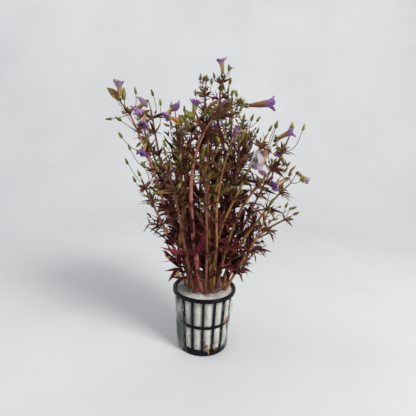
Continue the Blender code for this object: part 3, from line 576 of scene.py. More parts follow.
def newPiece(name, bm, materials, node=None, slot=None, sharpAngle=50.0):
    mesh = bpy.data.meshes.new(name)
    bm.to_mesh(mesh)
    bm.free()
    mesh.shade_smooth()
    mesh.set_sharp_from_angle(angle=math.radians(sharpAngle))
    for material in materials:
        mesh.materials.append(material)
    piece = bpy.data.objects.new(name, mesh)
    bpy.context.collection.objects.link(piece)
    if slot is None:
        return piece
    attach(piece, "root")
    if node is not None:
        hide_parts(node)
    return piece


# ---- floor and backdrop


def makeBackdrop(values):
    bm = newMesh()
    bmesh.ops.create_grid(bm, x_segments=1, y_segments=60, size=1.0)
    bend = values["wallBend"]
    flat = values["wallDistance"] - bend - values["floorFront"]
    arc = bend * math.pi / 2.0
    total = flat + arc + values["wallHeight"]
    for vert in bm.verts:
        reach = (vert.co.y + 1.0) / 2.0 * total
        turn = clamp(reach - flat, 0.0, arc) / bend
        y = values["floorFront"] + min(reach, flat) + bend * math.sin(turn)
        z = bend * (1.0 - math.cos(turn)) + max(0.0, reach - flat - arc)
        vert.co = (vert.co.x * values["halfWidth"], y, z)
    newPiece("paleFloor", bm, [floorMaterial(values)])


makeBackdrop(stageValues)
print("floor made")

# ---- net pot, in millimetres

potValues = {
    "height": 52.0,
    "rimRadius": 26.0,
    "rimBand": 3.0,
    "wallTop": 24.0,
    "wallBase": 20.75,
    "thickness": 1.5,
    "bars": 16,
    "barWidth": 1.9,
    "hoopBottom": 24.8,
    "hoopTop": 26.6,
    "baseBand": 5.0,
    "baseThickness": 1.6,
    "windowColumns": 4,
    "edgeRound": 0.22,
    "slots": 6,
    "slotWidth": 2.6,
    "slotInner": 6.5,
    "slotOuter": 16.5,
}


def potWall(height):
    return blend(potValues["wallBase"], potValues["wallTop"], height / potValues["height"])


def makePot(values):
    thick = values["thickness"]
    top, rimFoot = values["height"], values["height"] - values["rimBand"]
    # radius and height from the underside's middle, up the outside, over the rim and down the inside
    outside = [values["baseBand"], values["hoopBottom"], values["hoopTop"], rimFoot]
    profile = [(0.0, 0.0), (10.0, 0.0), (values["wallBase"] - 0.5, 0.0), (values["wallBase"], 0.5)]
    profile += [(potWall(height), height) for height in outside]
    profile += [(values["rimRadius"], rimFoot), (values["rimRadius"], top - 0.5), (values["rimRadius"] - 0.5, top),
                (potWall(top) + 0.5, top), (potWall(top) + 0.1, top - 0.35)]
    profile += [(potWall(height) - thick, height) for height in reversed(outside)]
    profile += [(values["wallBase"] - thick, values["baseThickness"]), (10.0, values["baseThickness"]),
                (0.0, values["baseThickness"])]
    columns = values["windowColumns"] + 1
    barAngle = values["barWidth"] / 22.4
    step = (tau / values["bars"] - barAngle) / values["windowColumns"]
    bm = newMesh()
    bmesh.ops.create_uvsphere(bm, u_segments=values["bars"] * columns, v_segments=len(profile) - 1, radius=1.0)
    rowOf, columnOf = {}, {}
    for vert in bm.verts:
        row = round(math.acos(clamp(-vert.co.z, -1.0)) / math.pi * (len(profile) - 1))
        turns = math.atan2(vert.co.y, vert.co.x) / tau
        column = round(turns * values["bars"] * columns) % (values["bars"] * columns)
        rowOf[vert], columnOf[vert] = row, column
    for vert in bm.verts:
        bar, part = divmod(columnOf[vert], columns)
        angle = tau * bar / values["bars"] - barAngle / 2.0 + (0.0 if part == 0 else barAngle + (part - 1) * step)
        radius, height = profile[rowOf[vert]]
        vert.co = Vector((radius * math.cos(angle), radius * math.sin(angle), height)) * mm
    last = len(profile) - 1
    # rows of faces that hold the windows, outside and inside, low ones 0 and high ones 1
    outsideRows = {4: 0, 6: 1}
    insideRows = {last - 4: 0, last - 6: 1}
    holes = {}
    for face in bm.faces:
        rows = [rowOf[vert] for vert in face.verts]
        parts = {columnOf[vert] for vert in face.verts}
        if len(face.verts) < 4 or min(rows) not in (*outsideRows, *insideRows):
            continue
        first = min(parts) if max(parts) - min(parts) == 1 else max(parts)
        bar, part = divmod(first, columns)
        if part == 0:
            continue
        level = outsideRows.get(min(rows), insideRows.get(min(rows)))
        holes.setdefault((bar, level), []).append(face)
    rims = []
    for faces in holes.values():
        inner = set(faces)
        around = dict.fromkeys(edge for face in faces for edge in face.edges)
        rims.append([edge for edge in around
                     if sum(1 for face in edge.link_faces if face in inner) == 1])
    bmesh.ops.delete(bm, geom=[face for faces in holes.values() for face in faces], context="FACES_KEEP_BOUNDARY")
    for rim in rims:
        bmesh.ops.bridge_loops(bm, edges=rim)
    loose = [edge for edge in bm.edges if not edge.link_faces]
    bmesh.ops.delete(bm, geom=loose, context="EDGES")
    bmesh.ops.recalc_face_normals(bm, faces=bm.faces)
    sharp = [edge for edge in bm.edges if edge.is_manifold and edge.calc_face_angle() > math.radians(35.0)]
    bmesh.ops.bevel(bm, geom=sharp, offset=values["edgeRound"] * mm, affect="EDGES", segments=2, profile=0.5,
                    material=-1, clamp_overlap=True)
    pot = newPiece("net_pot_shell", bm, [plasticMaterial(colourValues)], "net_pot", "pot_plastic", 40.0)

    cutter = bmesh.new()
    length = values["slotOuter"] - values["slotInner"]
    for index in range(values["slots"]):
        turn = Matrix.Rotation(tau * index / values["slots"], 4, "Z")
        place = Matrix.Translation(((values["slotInner"] + length / 2.0) * mm, 0.0, 0.0))
        size = Matrix.Diagonal((length * mm, values["slotWidth"] * mm, values["baseThickness"] * 4.0 * mm, 1.0))
        bmesh.ops.create_cube(cutter, size=1.0, matrix=turn @ place @ size)
    cutterMesh = keepMesh("slotCutter", cutter)
    cutterPiece = bpy.data.objects.new("slotCutter", cutterMesh)
    bpy.context.collection.objects.link(cutterPiece)
    cut = pot.modifiers.new("drainSlots", "BOOLEAN")
    cut.operation = "DIFFERENCE"
    cut.solver = "EXACT"
    cut.object = cutterPiece
    shown = pot.evaluated_get(bpy.context.evaluated_depsgraph_get())
    finished = bpy.data.meshes.new_from_object(shown)
    pot.modifiers.clear()
    pot.data = finished
    bpy.data.objects.remove(cutterPiece)
    return pot


makePot(potValues)
print("net pot made")

# ---- rock wool

woolValues = {
    "top": 50.9,
    "dome": 0.4,
    "lip": 0.65,  # how far the wool spreads over the pot's inner edge
    "bulge": 1.0,  # how far it swells past the bars, least in front
    "lump": 0.38,
    "around": 160,
    "upward": 96,
    "sideFibres": 3000,
    "topFibres": 1900,
    "fibreLength": (1.2, 4.5),
    "fibreRadius": (0.028, 0.05),
    # loose threads over the bars: how many, from and to which angle in degrees, and their length
    "veils": [(900, 178.0, 232.0, (3.0, 8.0)), (260, 308.0, 352.0, (2.0, 5.0)), (160, 0.0, 170.0, (2.0, 5.0))],
    # colour, place in metres and reach of each patch: real stains, darker brown patches, and painted shade
    "stainsAndShade": [
        # orange and light brown stains
        ((0.62, 0.27, 0.14), (0.0186, -0.0128, 0.0290), 0.0052),
        ((0.50, 0.32, 0.22), (0.0100, -0.0195, 0.0285), 0.0040),
        ((0.50, 0.33, 0.24), (0.0030, -0.0220, 0.0275), 0.0034),
        # darker brown round the root bits
        ((0.14, 0.075, 0.040), (0.0035, -0.0220, 0.0095), 0.0046),
        ((0.13, 0.10, 0.08), (0.0095, -0.0200, 0.0075), 0.0044),
        # painted shade on the left of the top
        ((0.22, 0.22, 0.20), (-0.0165, -0.0060, 0.0510), 0.0125),
        # darker brown round the stems' feet, and a grey patch on the top's front
        ((0.12, 0.08, 0.055), (0.0010, -0.0020, 0.0512), 0.0125),
        ((0.42, 0.41, 0.37), (0.0080, -0.0140, 0.0505), 0.0070),
        # painted shade on the left side and along the bottom edge
        ((0.17, 0.18, 0.16), (-0.0205, -0.0090, 0.0160), 0.0120),
        ((0.28, 0.28, 0.25), (-0.0150, -0.0160, 0.0300), 0.0090),
        ((0.16, 0.16, 0.14), (-0.0060, -0.0215, 0.0085), 0.0046),
        ((0.20, 0.19, 0.17), (0.0120, -0.0180, 0.0060), 0.0040),
    ],
}


def woolSurface(angle, share):
    # a place on the wool's skin: share runs from the underside's middle to the top's middle
    pot, wool = potValues, woolValues
    bottom = pot["baseThickness"] + 0.2
    foot, head = 0.16, 0.80
    lump = noise.noise(Vector((math.cos(angle) * 4.0, math.sin(angle) * 4.0, share * 9.0)))
    fine = noise.noise(Vector((math.cos(angle) * 13.0, math.sin(angle) * 13.0, share * 33.0)))
    rough = wool["lump"] * (lump + 0.6 * fine)
    innerWall = pot["thickness"] + 0.35
    if share < foot:
        radius = (potWall(bottom) - innerWall) * math.sqrt(share / foot)
        height = bottom
    elif share < head:
        rise = (share - foot) / (head - foot)
        height = blend(bottom, wool["top"] - 0.8, rise)
        period = tau / pot["bars"]
        fromBar = abs((angle + period / 2.0) % period - period / 2.0) / (period / 2.0)
        window = clamp((fromBar - 0.28) / 0.5)
        window = window * window * (3.0 - 2.0 * window)
        levels = [(pot["baseBand"], pot["hoopBottom"]), (pot["hoopTop"], pot["height"] - pot["rimBand"])]
        opening = 0.0
        for low, high in levels:
            if low < height < high:
                opening = max(opening, math.sin(math.pi * (height - low) / (high - low)) ** 0.45)
        swell = window * opening
        side = 0.25 + 0.75 * math.cos(angle) ** 2
        radius = potWall(height) - innerWall + swell * (innerWall - 0.35 + wool["bulge"] * side)
        radius += rough * (0.25 + swell)
    else:
        rim = (1.0 - share) / (1.0 - head)
        radius = (potWall(wool["top"]) - innerWall + wool["lip"]) * rim ** 0.6
        around = Vector((math.cos(angle), math.sin(angle), 0.0))
        crumb = noise.noise(around * (radius * 0.9) + Vector((3.0, 7.0, 1.0)))
        height = wool["top"] + wool["dome"] * (1.0 - rim * rim) + rough * 1.6 + crumb * 0.5 - 0.8 * rim**6
    return Vector((radius * math.cos(angle), radius * math.sin(angle), height)) * mm


def makeWool(values):
    shapes["wool"] = podShape("woolShape", values["around"], values["upward"])
    bm = newMesh()
    chance = random.Random("rock wool")

    def skin(co):
        return woolSurface(math.atan2(co.y, co.x), co.z)

    addCopy(bm, "wool", skin, 0.0, chance, 0)
    bmesh.ops.recalc_face_normals(bm, faces=bm.faces)
    newPiece("rock_wool_body", bm, [woolMaterial(colourValues, "woolSkin")],
             "rock_wool", "rock_wool", 180.0)

    bm = newMesh()
    for index in range(values["sideFibres"] + values["topFibres"]):
        onTop = index >= values["sideFibres"]
        angle = chance.uniform(0.0, tau)
        share = chance.uniform(0.81, 0.985) if onTop else chance.uniform(0.21, 0.79)
        start = woolSurface(angle, share)
        out = (woolSurface(angle + 0.02, share) - start).cross(woolSurface(angle, share + 0.004) - start)
        out.normalize()
        spin = Matrix.Rotation(chance.uniform(0.0, tau), 3, out)
        flat = spin @ out.orthogonal().normalized()
        length = chance.uniform(*values["fibreLength"]) * mm
        lift = chance.uniform(0.02, 0.28) * (1.6 if chance.random() < 0.12 else 1.0)
        bow = chance.uniform(-0.3, 0.3)
        cross = out.cross(flat)
        middle = start + flat * length * 0.5 + out * lift * length * 0.7 + cross * bow * length * 0.5
        end = start + flat * length * 0.95 + out * lift * length * chance.uniform(-0.2, 0.8)
        radius = chance.uniform(*values["fibreRadius"]) * mm

        def thread(co):
            place = start * (1.0 - co.z) ** 2 + middle * 2.0 * co.z * (1.0 - co.z) + end * co.z**2
            return place + (cross * co.x + out * co.y) * radius

        addCopy(bm, "fibre", thread, 0.0, chance, 0)
    for count, low, high, lengths in values["veils"]:
        for index in range(count):
            angle = math.radians(chance.triangular(low, high, (low + high) / 2.0))
            height = chance.uniform(6.0, 46.0)
            radius = potWall(height) + chance.uniform(-0.25, 0.55)
            out = Vector((math.cos(angle), math.sin(angle), 0.0))
            cross = Vector((-math.sin(angle), math.cos(angle), 0.0))
            start = (out * radius + Vector((0.0, 0.0, height))) * mm
            length = chance.uniform(*lengths) * mm
            fall = (Vector((0.0, 0.0, -1.0)) + cross * chance.gauss(0.0, 0.35)).normalized()
            middle = start + fall * length * 0.5 + (cross * chance.gauss(0.0, 0.12) + out * 0.05) * length
            end = start + fall * length - out * 0.06 * length
            if end.z < 1.0 * mm:
                continue
            addCopy(bm, "fibre", lambda co: start * (1.0 - co.z) ** 2 + middle * 2.0 * co.z * (1.0 - co.z) +
                    end * co.z**2 + (cross * co.x + out * co.y) * 0.05 * mm, 0.0, chance, 0)
    bmesh.ops.recalc_face_normals(bm, faces=bm.faces)
    newPiece("rock_wool_fibres", bm, [woolMaterial(colourValues, "woolThread")],
             None, "rock_wool", 180.0)


makeWool(woolValues)
print("rock wool made")

# ---- stems and all that grows on them; the routes are in millimetres, foot first

stemRoutes = {
    "stem_01": [(-11, 4, 50), (-18, -4, 86), (-31, -14, 120), (-42, -22, 158), (-54, -25, 186), (-57, -26, 191)],
    "stem_02": [(-11, 9, 50), (-16, 2, 80), (-28, -4, 122), (-36, -10, 156), (-42, -14, 191)],
    "stem_03": [(-6, 2, 50), (-12, 2, 84), (-18, 2, 108), (-22, 2, 140), (-26, 2, 187)],
    "stem_04": [(-3, -6, 50), (-6, -12, 74), (-10, -18, 104), (-12, -22, 136), (-9, -25, 162), (0, -28, 183),
                (12, -30, 195)],
    "stem_05": [(1, 5, 50), (2, 0, 72), (4, -6, 98), (6, -8, 130), (9, -8, 160), (11, -8, 179)],
    "stem_06": [(5, 2, 50), (7, -4, 80), (12, -14, 108), (21, -20, 133), (32, -26, 161), (39, -28, 177)],
    "stem_07": [(10, 9, 50), (12, 9, 90), (15, 9, 135), (17, 10, 170), (16, 10, 202)],
    "stem_08": [(15, 0, 50), (20, -5, 78), (29, -11, 97), (40, -14, 115), (50, -16, 131), (60, -18, 143)],
    "stem_09": [(17, 6, 50), (24, 6, 66), (35, 3, 86), (48, 0, 102), (66, -4, 115)],
    "stem_10": [(10, -4, 50), (16, -10, 88), (25, -16, 121), (38, -20, 143), (49, -20, 158), (56, -20, 177)],
    "stem_11": [(2, 9, 50), (3, 8, 90), (4, 6, 130), (6, 4, 186), (7, 4, 216)],
    "stem_12": [(-5, 11, 50), (-7, 9, 95), (-6, 5, 140), (-5, 2, 186), (-4, 2, 211)],
    "stem_13": [(-8, -4, 50), (-14, -9, 90), (-17, -11, 130), (-14, -12, 165), (-12, -12, 183)],
    "stem_14": [(5, -3, 50), (3, -12, 90), (0, -16, 130), (-1, -16, 165), (1, -14, 188)],
    "stem_15": [(7, -8, 50), (8, -21, 92), (7, -30, 128), (11, -35, 158), (18, -38, 177)],
    "stem_16": [(-12, 14, 50), (-24, 17, 95), (-38, 22, 135), (-49, 25, 163), (-55, 26, 178)],
    "stem_17": [(-8, 16, 50), (-15, 23, 100), (-21, 30, 145), (-26, 34, 180)],
    "stem_18": [(8, 15, 50), (15, 23, 98), (24, 29, 140), (32, 32, 173)],
    "stem_19": [(15, 12, 50), (27, 16, 88), (41, 19, 122), (53, 21, 150)],
    "stem_20": [(0, 17, 50), (-2, 30, 100), (0, 41, 150), (4, 48, 188)],
    "stem_21": [(-15, 0, 50), (-22, -7, 78), (-31, -16, 104), (-40, -26, 128), (-46, -30, 144)],
    "stem_22": [(16, -6, 50), (26, -13, 74), (36, -21, 99), (43, -26, 120)],
    "stem_23": [(-8, -11, 50), (-15, -25, 92), (-21, -37, 130), (-27, -45, 160)],
    "stem_24": [(1, -12, 50), (1, -27, 92), (-1, -39, 133), (-3, -47, 163)],
    "stem_25": [(-12, -5, 50), (-16, -15, 90), (-18, -22, 130), (-19, -26, 160), (-19, -27, 180)],
    "stem_26": [(11, 3, 50), (15, 1, 90), (19, -3, 130), (22, -6, 160), (24, -8, 184)],
}
# tips of single leaves, each with its hue and half width
leafTips = {
    "stem_04": {(-4, -18, 104): (0.1, 2.2), (-33, -16, 87): (1.0, 2.1), (4, -27, 138): (0.8, 2.2),
                (-33, -22, 132): (0.85, 2.1), (11, -34, 163): (0.1, 2.6), (-20, -27, 164): (0.95, 1.6),
                (13, -32, 196): (0.5, 2.6)},
    "stem_08": {(36, -3, 71): (0.3, 1.8)},
    "stem_21": {(-44, -12, 108): (0.05, 1.8)},
    "stem_22": {(34, -10, 70): (0.0, 2.0)},
}
budTips = {
    "stem_01": [(-72, -24, 183), (-65, -24, 185), (-64, -20, 175), (-58, -17, 167), (-60, -18, 157), (-51, -26, 205),
                (-67, -27, 204)],
    "stem_02": [(-53, -14, 164), (-50, -14, 151), (-42, -14, 205), (-36, -12, 199), (-49, -16, 180)],
    "stem_03": [(-29, 0, 198), (-20, 4, 196), (-36, 8, 182)],
    "stem_05": [(14, -8, 188), (17, -14, 160)],
    "stem_06": [(29, -26, 190), (46, -32, 184)],
    "stem_07": [(13, 10, 211), (19, 10, 209), (24, 8, 198)],
    "stem_08": [(62, -13, 158), (50, -20, 146)],
    "stem_09": [(63, -2, 126), (71, 0, 122)],
    "stem_10": [(45, -18, 191), (66, -18, 185)],
    "stem_11": [(12, 4, 226), (14, 3, 217), (1, 8, 221)],
    "stem_12": [(-8, 2, 219), (0, 1, 216), (-12, 4, 208)],
    "stem_21": [(-46, -30, 156), (-52, -30, 146), (-37, -26, 143)],
    "stem_22": [(47, -26, 133), (40, -31, 124), (52, -25, 118)],
}
ruledBuds = {
    "stem_13": 2, "stem_14": 2, "stem_15": 3, "stem_16": 4, "stem_17": 4, "stem_18": 4, "stem_19": 4, "stem_20": 4,
    "stem_23": 4, "stem_24": 4, "stem_25": 4, "stem_26": 4,
}
# stem, foot of the tube, point that it faces, length, mouth radius, how brown the tube is, how deep the limb is
flowers = {
    "flower_01": ("stem_01", (-60, -29, 198), (-60, -30, 208), 9.0, 4.2, 0.3, 0.5),
    "flower_02": ("stem_02", (-46, -17, 195), (-54, -19, 189), 9.0, 4.8, 0.7, 0.4),
    "flower_03": ("stem_02", (-45, -20, 187), (-46, -25, 179), 8.5, 4.6, 0.8, 0.6),
    "flower_04": ("stem_03", (-28, -5, 193), (-33, -10, 186), 9.0, 4.7, 0.7, 0.5),
    "flower_05": ("stem_01", (-43, -26, 168), (-46, -30, 160), 8.5, 4.6, 0.35, 0.95),
    "flower_06": ("stem_13", (-12, -13, 187), (-10, -14, 199), 11.5, 5.4, 0.1, 0.5),
    "flower_07": ("stem_14", (2, -14, 192), (11, -16, 197), 10.5, 3.8, 0.75, 0.6),
    "flower_08": ("stem_05", (6, -17, 175), (2, -24, 181), 8.5, 4.4, 0.5, 0.6),
    "flower_09": ("stem_06", (27, -22, 176), (17, -24, 179), 10.0, 4.4, 0.95, 0.45),
    "flower_10": ("stem_04", (25, -30, 195), (43, -31, 197), 17.0, 5.6, 1.0, 0.75),
    "flower_11": ("stem_10", (47, -24, 174), (58, -28, 181), 11.0, 4.8, 0.7, 0.6),
    "flower_12": ("stem_06", (41, -24, 164), (35, -26, 153), 14.0, 7.6, 0.3, 0.05),
    "flower_13": ("stem_10", (54, -15, 158), (49, -17, 165), 8.0, 4.2, 0.4, 0.7),
    "flower_15": ("stem_08", (66, -17, 149), (72, -16, 145), 8.0, 2.6, 0.3, 0.35),
    "flower_14": ("stem_08", (54, -25, 146), (45, -28, 142), 9.5, 4.8, 0.2, 0.9),
    "flower_16": ("stem_11", (8, 5, 219), (6, 5, 230), 10.5, 4.2, 0.35, 0.5),
    "flower_17": ("stem_07", (22, 7, 176), (27, 2, 168), 8.5, 4.3, 0.5, 0.7),
    "flower_18": ("stem_03", (-20, -3, 186), (-15, -8, 180), 8.0, 4.4, 0.5, 0.6),
}
# these values place every growth where its solid is, so they are the solids' own
growthValues = {
    "baseRadius": 1.25,
    "tipRadius": 0.6,
    "thickStem": "stem_04",
    "thickRadius": 1.95,
    "thickNodes": (30, 76, 110, 132, 143, 151),
    "firstNode": 17.0,
    "spacing": (25.0, 9.3),
    "leafLength": (24.0, 12.0),
    "leafWidest": 0.42,
    "knownSlimness": 0.17,
    "leafTries": 7,
    "leafThickness": 0.6,
    "stalkWidth": 0.8,
    "budLength": 5.6,
    "budWidth": 2.5,
    "budReach": 14.0,
    "budTries": 16,
    "cupLength": 3.0,
    "longestLeaf": 32.0,
    "longestStalk": 36.0,
    "tipShifts": ((0, 0, 0), (0, 4, 1), (0, -4, -1), (2, 0, -2), (-2, 0, -2), (0, 8, 2), (0, -8, -2), (2, 5, 2),
                  (-2, 5, 2), (3, 3, -4), (-3, 3, -4), (0, 12, 3)),
    "hooks": (0.0, 0.25, 0.5),
    "gap": 0.3,
}
# olive stems are near 1 and pink-brown ones near 0
stemHues = {
    "stem_01": 0.1, "stem_02": 0.35, "stem_03": 0.85, "stem_04": 0.0, "stem_05": 1.0, "stem_06": 0.9,
    "stem_07": 0.4, "stem_08": 0.75, "stem_09": 0.55, "stem_10": 0.6, "stem_11": 0.2, "stem_12": 0.1,
    "stem_13": 0.7, "stem_14": 0.7, "stem_15": 0.6, "stem_21": 0.05, "stem_22": 0.65, "stem_23": 0.45,
    "stem_24": 0.3, "stem_25": 0.6, "stem_26": 0.3,
}
# how light each stem is, partly its own tone and partly painted light: the front stems are set light as if lit, and
# stem_13, stem_23, stem_24 and stem_25 dark as painted shade inside the bunch; the others are drawn by chance
stemShades = {
    "stem_01": 0.85, "stem_02": 0.6, "stem_03": 0.8, "stem_04": 0.95, "stem_05": 0.9, "stem_06": 0.9, "stem_07": 0.5,
    "stem_08": 0.85, "stem_09": 0.6, "stem_10": 0.6, "stem_13": 0.35, "stem_14": 0.6, "stem_15": 0.6, "stem_21": 0.6,
    "stem_22": 0.8, "stem_23": 0.0, "stem_24": 0.0, "stem_25": 0.15,
}


def smoothRoute(points, steps):
    ends = [points[0] * 2 - points[1]] + points + [points[-1] * 2 - points[-2]]
    places = []
    for before, start, end, after in zip(ends, ends[1:], ends[2:], ends[3:]):
        for step in range(steps):
            share = step / steps
            straight = start * 2 + (end - before) * share
            bend = (before * 2 - start * 5 + end * 4 - after) * share**2
            twist = (start * 3 - before - end * 3 + after) * share**3
            places.append((straight + bend + twist) * 0.5)
    places.append(points[-1].copy())
    return places


class Route:
    # a smooth line with a side direction that is carried along it

    def __init__(self, points, side, steps=6):
        self.places = smoothRoute(points, steps)
        self.distances = [0.0]
        for start, end in zip(self.places, self.places[1:]):
            self.distances.append(self.distances[-1] + (end - start).length)
        self.length = self.distances[-1]
        last = len(self.places) - 1
        along = (self.places[1] - self.places[0]).normalized()
        side = (side - along * side.dot(along)).normalized()
        self.frames = []
        for index, place in enumerate(self.places):
            ahead = (self.places[min(index + 1, last)] - self.places[max(index - 1, 0)]).normalized()
            side = (along.rotation_difference(ahead) @ side).normalized()
            along = ahead
            self.frames.append((along, side))
        self.known = {}

    def at(self, share):
        if share in self.known:
            return self.known[share]
        distance = share * self.length
        index = max(0, min(len(self.places) - 2, bisect.bisect_right(self.distances, distance) - 1))
        step = self.distances[index + 1] - self.distances[index]
        part = (distance - self.distances[index]) / step if step else 0.0
        place = blend(self.places[index], self.places[index + 1], part)
        along = blend(self.frames[index][0], self.frames[index + 1][0], part).normalized()
        side = blend(self.frames[index][1], self.frames[index + 1][1], part).normalized()
        self.known[share] = (place, along, side, side.cross(along))
        return self.known[share]


class Stem:

    def __init__(self, name):
        values = growthValues
        self.name = name
        self.places = smoothRoute([Vector(point) * mm for point in stemRoutes[name]], 12)
        self.distances = [0.0]
        for start, end in zip(self.places, self.places[1:]):
            self.distances.append(self.distances[-1] + (end - start).length)
        self.length = self.distances[-1]
        self.baseRadius = (values["thickRadius"] if name == values["thickStem"] else values["baseRadius"]) * mm
        chance = random.Random(name)
        turn = chance.uniform(0, tau)
        self.side = Vector((math.cos(turn), math.sin(turn), 0))
        self.nodes = []
        distance = values["firstNode"] * mm * chance.uniform(0.8, 1.5)
        if name == values["thickStem"]:
            self.nodes = [distance * mm for distance in values["thickNodes"]]
            return
        while distance < self.length - 2 * mm:
            self.nodes.append(distance)
            share = (distance / self.length) ** 1.3
            distance += blend(*values["spacing"], share) * mm * chance.uniform(0.85, 1.15)

    def frame(self, distance):
        index = 0
        while index < len(self.distances) - 2 and self.distances[index + 1] < distance:
            index += 1
        start, end = self.places[index], self.places[index + 1]
        share = (distance - self.distances[index]) / (self.distances[index + 1] - self.distances[index])
        before = self.places[max(index - 1, 0)]
        after = self.places[min(index + 2, len(self.places) - 1)]
        along = blend(end - before, after - start, share).normalized()
        if distance <= 0.0:
            along = Vector((0, 0, 1))
        side = (self.side - along * self.side.dot(along)).normalized()
        matrix = Matrix.Identity(4)
        for column, vector in enumerate((side, along.cross(side), along, blend(start, end, share))):
            matrix.col[column][:3] = vector
        return matrix

    def radius(self, distance):
        return blend(self.baseRadius, growthValues["tipRadius"] * mm, distance / self.length)

    def siteAt(self, distance, angle, reach):
        frame = self.frame(distance)
        outward = frame.to_3x3() @ Vector((math.cos(angle), math.sin(angle), 0))
        return frame.translation + outward * reach, outward, frame.to_3x3() @ Vector((0, 0, 1))

    def site(self, node, quarter):
        distance = self.nodes[node]
        reach = self.radius(distance) * 1.25 * math.cos(math.pi / 4)
        return self.siteAt(distance, tau * (quarter + 0.5) / 4, reach)

    def endSite(self):
        frame = self.frame(self.length)
        turn = frame.to_3x3()
        return frame.translation, turn @ Vector((0, 0, 1)), turn @ Vector((1, 1, 0)).normalized()


def halfway(line, heading):
    return (line.normalized() + heading).normalized()


def sectionsFrom(site, cuts):
    root, before, up = site
    side = before.cross(up).normalized()
    sections = []
    for centre, along, width, thickness in cuts:
        side = before.rotation_difference(along) @ side
        sections.append((centre, side, side.cross(along).normalized(), width, thickness))
        before = along
    return sections


def leafGrowth(stem, node, quarter, attempt):
    values = growthValues
    chance = random.Random(f"{stem.name} leaf {node} {quarter} {attempt}")
    site = stem.site(node, quarter)
    root, outward, up = site
    share = stem.nodes[node] / stem.length
    length = blend(*values["leafLength"], share) * mm * chance.uniform(0.75, 1.2) * 0.93**attempt
    width = length * chance.uniform(0.17, 0.23)
    lean = math.radians(chance.uniform(38, 80))
    sway = Matrix.Rotation(math.radians(chance.uniform(-30, 30)), 3, up)
    droop = chance.uniform(-0.05, 0.28) * length
    heading = (sway @ outward) * math.sin(lean) + up * math.cos(lean)
    middle = root + heading * length * values["leafWidest"]
    tip = root + heading * length - Vector((0, 0, droop))
    return site, sectionsFrom(site, [(middle, heading, width, values["leafThickness"] * mm)]), tip


def knownLeafGrowth(site, tip):
    line = tip - site[0]
    middle = site[0] + line * growthValues["leafWidest"]
    cut = (middle, line.normalized(), line.length * growthValues["knownSlimness"],
           growthValues["leafThickness"] * mm)
    return site, sectionsFrom(site, [cut]), tip


def budGrowth(site, tip):
    root, outward, up = site
    stalk = growthValues["stalkWidth"] * mm
    heading = ((tip - root).normalized() - outward * 0.35).normalized()
    foot = tip - heading * growthValues["budLength"] * mm
    belly = tip - heading * growthValues["budLength"] * 0.6 * mm
    bend = blend(root, foot, 0.4) + outward * (foot - root).length * 0.16
    cuts = [
        (bend, (foot - root).normalized(), stalk, stalk),
        (foot, halfway(foot - bend, heading), stalk, stalk),
        (belly, heading, growthValues["budWidth"] * mm, growthValues["budWidth"] * mm),
    ]
    return site, sectionsFrom(site, cuts), tip


def stalkGrowth(site, foot, facing, hook):
    root, outward, up = site
    stalk = growthValues["stalkWidth"] * mm
    end = foot - facing * growthValues["gap"] * mm
    cup = end - facing * growthValues["cupLength"] * mm
    bend = blend(root, cup, 0.5) + (outward * 0.12 - facing * hook) * (cup - root).length
    cuts = [
        (bend, (cup - root).normalized(), stalk, stalk),
        (cup, halfway(cup - bend, facing), stalk, stalk),
    ]
    return site, sectionsFrom(site, cuts), foot


def cadCorners(nodeName):
    mesh = frame["nodes"][nodeName].data
    tree = KDTree(len(mesh.vertices))
    for index, vert in enumerate(mesh.vertices):
        tree.insert(vert.co, index)
    tree.balance()
    return tree


def isSolid(tree, growth):
    # whether a growth's first section has its corner on the stem's solid
    centre, side, rise, width, thickness = growth[1][0]
    corner = centre - side * width / 2 - rise * thickness / 2
    return tree.find(corner)[2] < 0.08 * mm


def solidGrowths(stem):
    # every leaf, bud and stalk that the stem's solid has, by the face of the node that it grows from
    tree = cadCorners(stem.name)
    sites = {(node, quarter): stem.site(node, quarter) for node in range(len(stem.nodes)) for quarter in range(4)}
    sites["end"] = stem.endSite()
    found = {}

    def keep(place, kind, growth, key=None):
        if place not in found and isSolid(tree, growth):
            found[place] = (kind, growth, key)
            return True
        return False

    for name, (carrier, foot, target, *rest) in flowers.items():
        if carrier != stem.name:
            continue
        facing = (Vector(target) - Vector(foot)).normalized()
        for place, site in sites.items():
            for hook in growthValues["hooks"]:
                keep(place, "stalk", stalkGrowth(site, Vector(foot) * mm, facing, hook), name)
    known = (("bud", budTips, budGrowth, "longestStalk"), ("leaf", leafTips, knownLeafGrowth, "longestLeaf"))
    for kind, tips, makeGrowth, longest in known:
        for tip in tips.get(stem.name, []):
            for shift in growthValues["tipShifts"]:
                target = (Vector(tip) + Vector(shift)) * mm
                for place, site in sites.items():
                    if place != "end" and (target - site[0]).length < growthValues[longest] * mm:
                        keep(place, kind, makeGrowth(site, target), tip)
    root, along, square = stem.endSite()
    keep("end", "bud", budGrowth((root, along, square), root + along * (growthValues["budLength"] + 1.5) * mm))
    for index in range(ruledBuds.get(stem.name, 0)):
        node = len(stem.nodes) - 1 - index // 2
        quarter = (index * 2 + node) % 4
        for attempt in range(growthValues["budTries"]):
            chance = random.Random(f"{stem.name} bud {index} {attempt}")
            root, outward, up = stem.site(node, quarter)
            spread = outward * chance.uniform(0.5, 1.1) + Vector((0, 0, chance.uniform(0.4, 1.1)))
            tip = root + spread.normalized() * growthValues["budReach"] * mm * chance.uniform(0.8, 1.3)
            keep((node, quarter), "bud", budGrowth(stem.site(node, quarter), tip))
    for node in range(len(stem.nodes)):
        for quarter in range(4):
            for attempt in range(growthValues["leafTries"]):
                keep((node, quarter), "leaf", leafGrowth(stem, node, quarter, attempt))
    return found


# ---- how the growths look

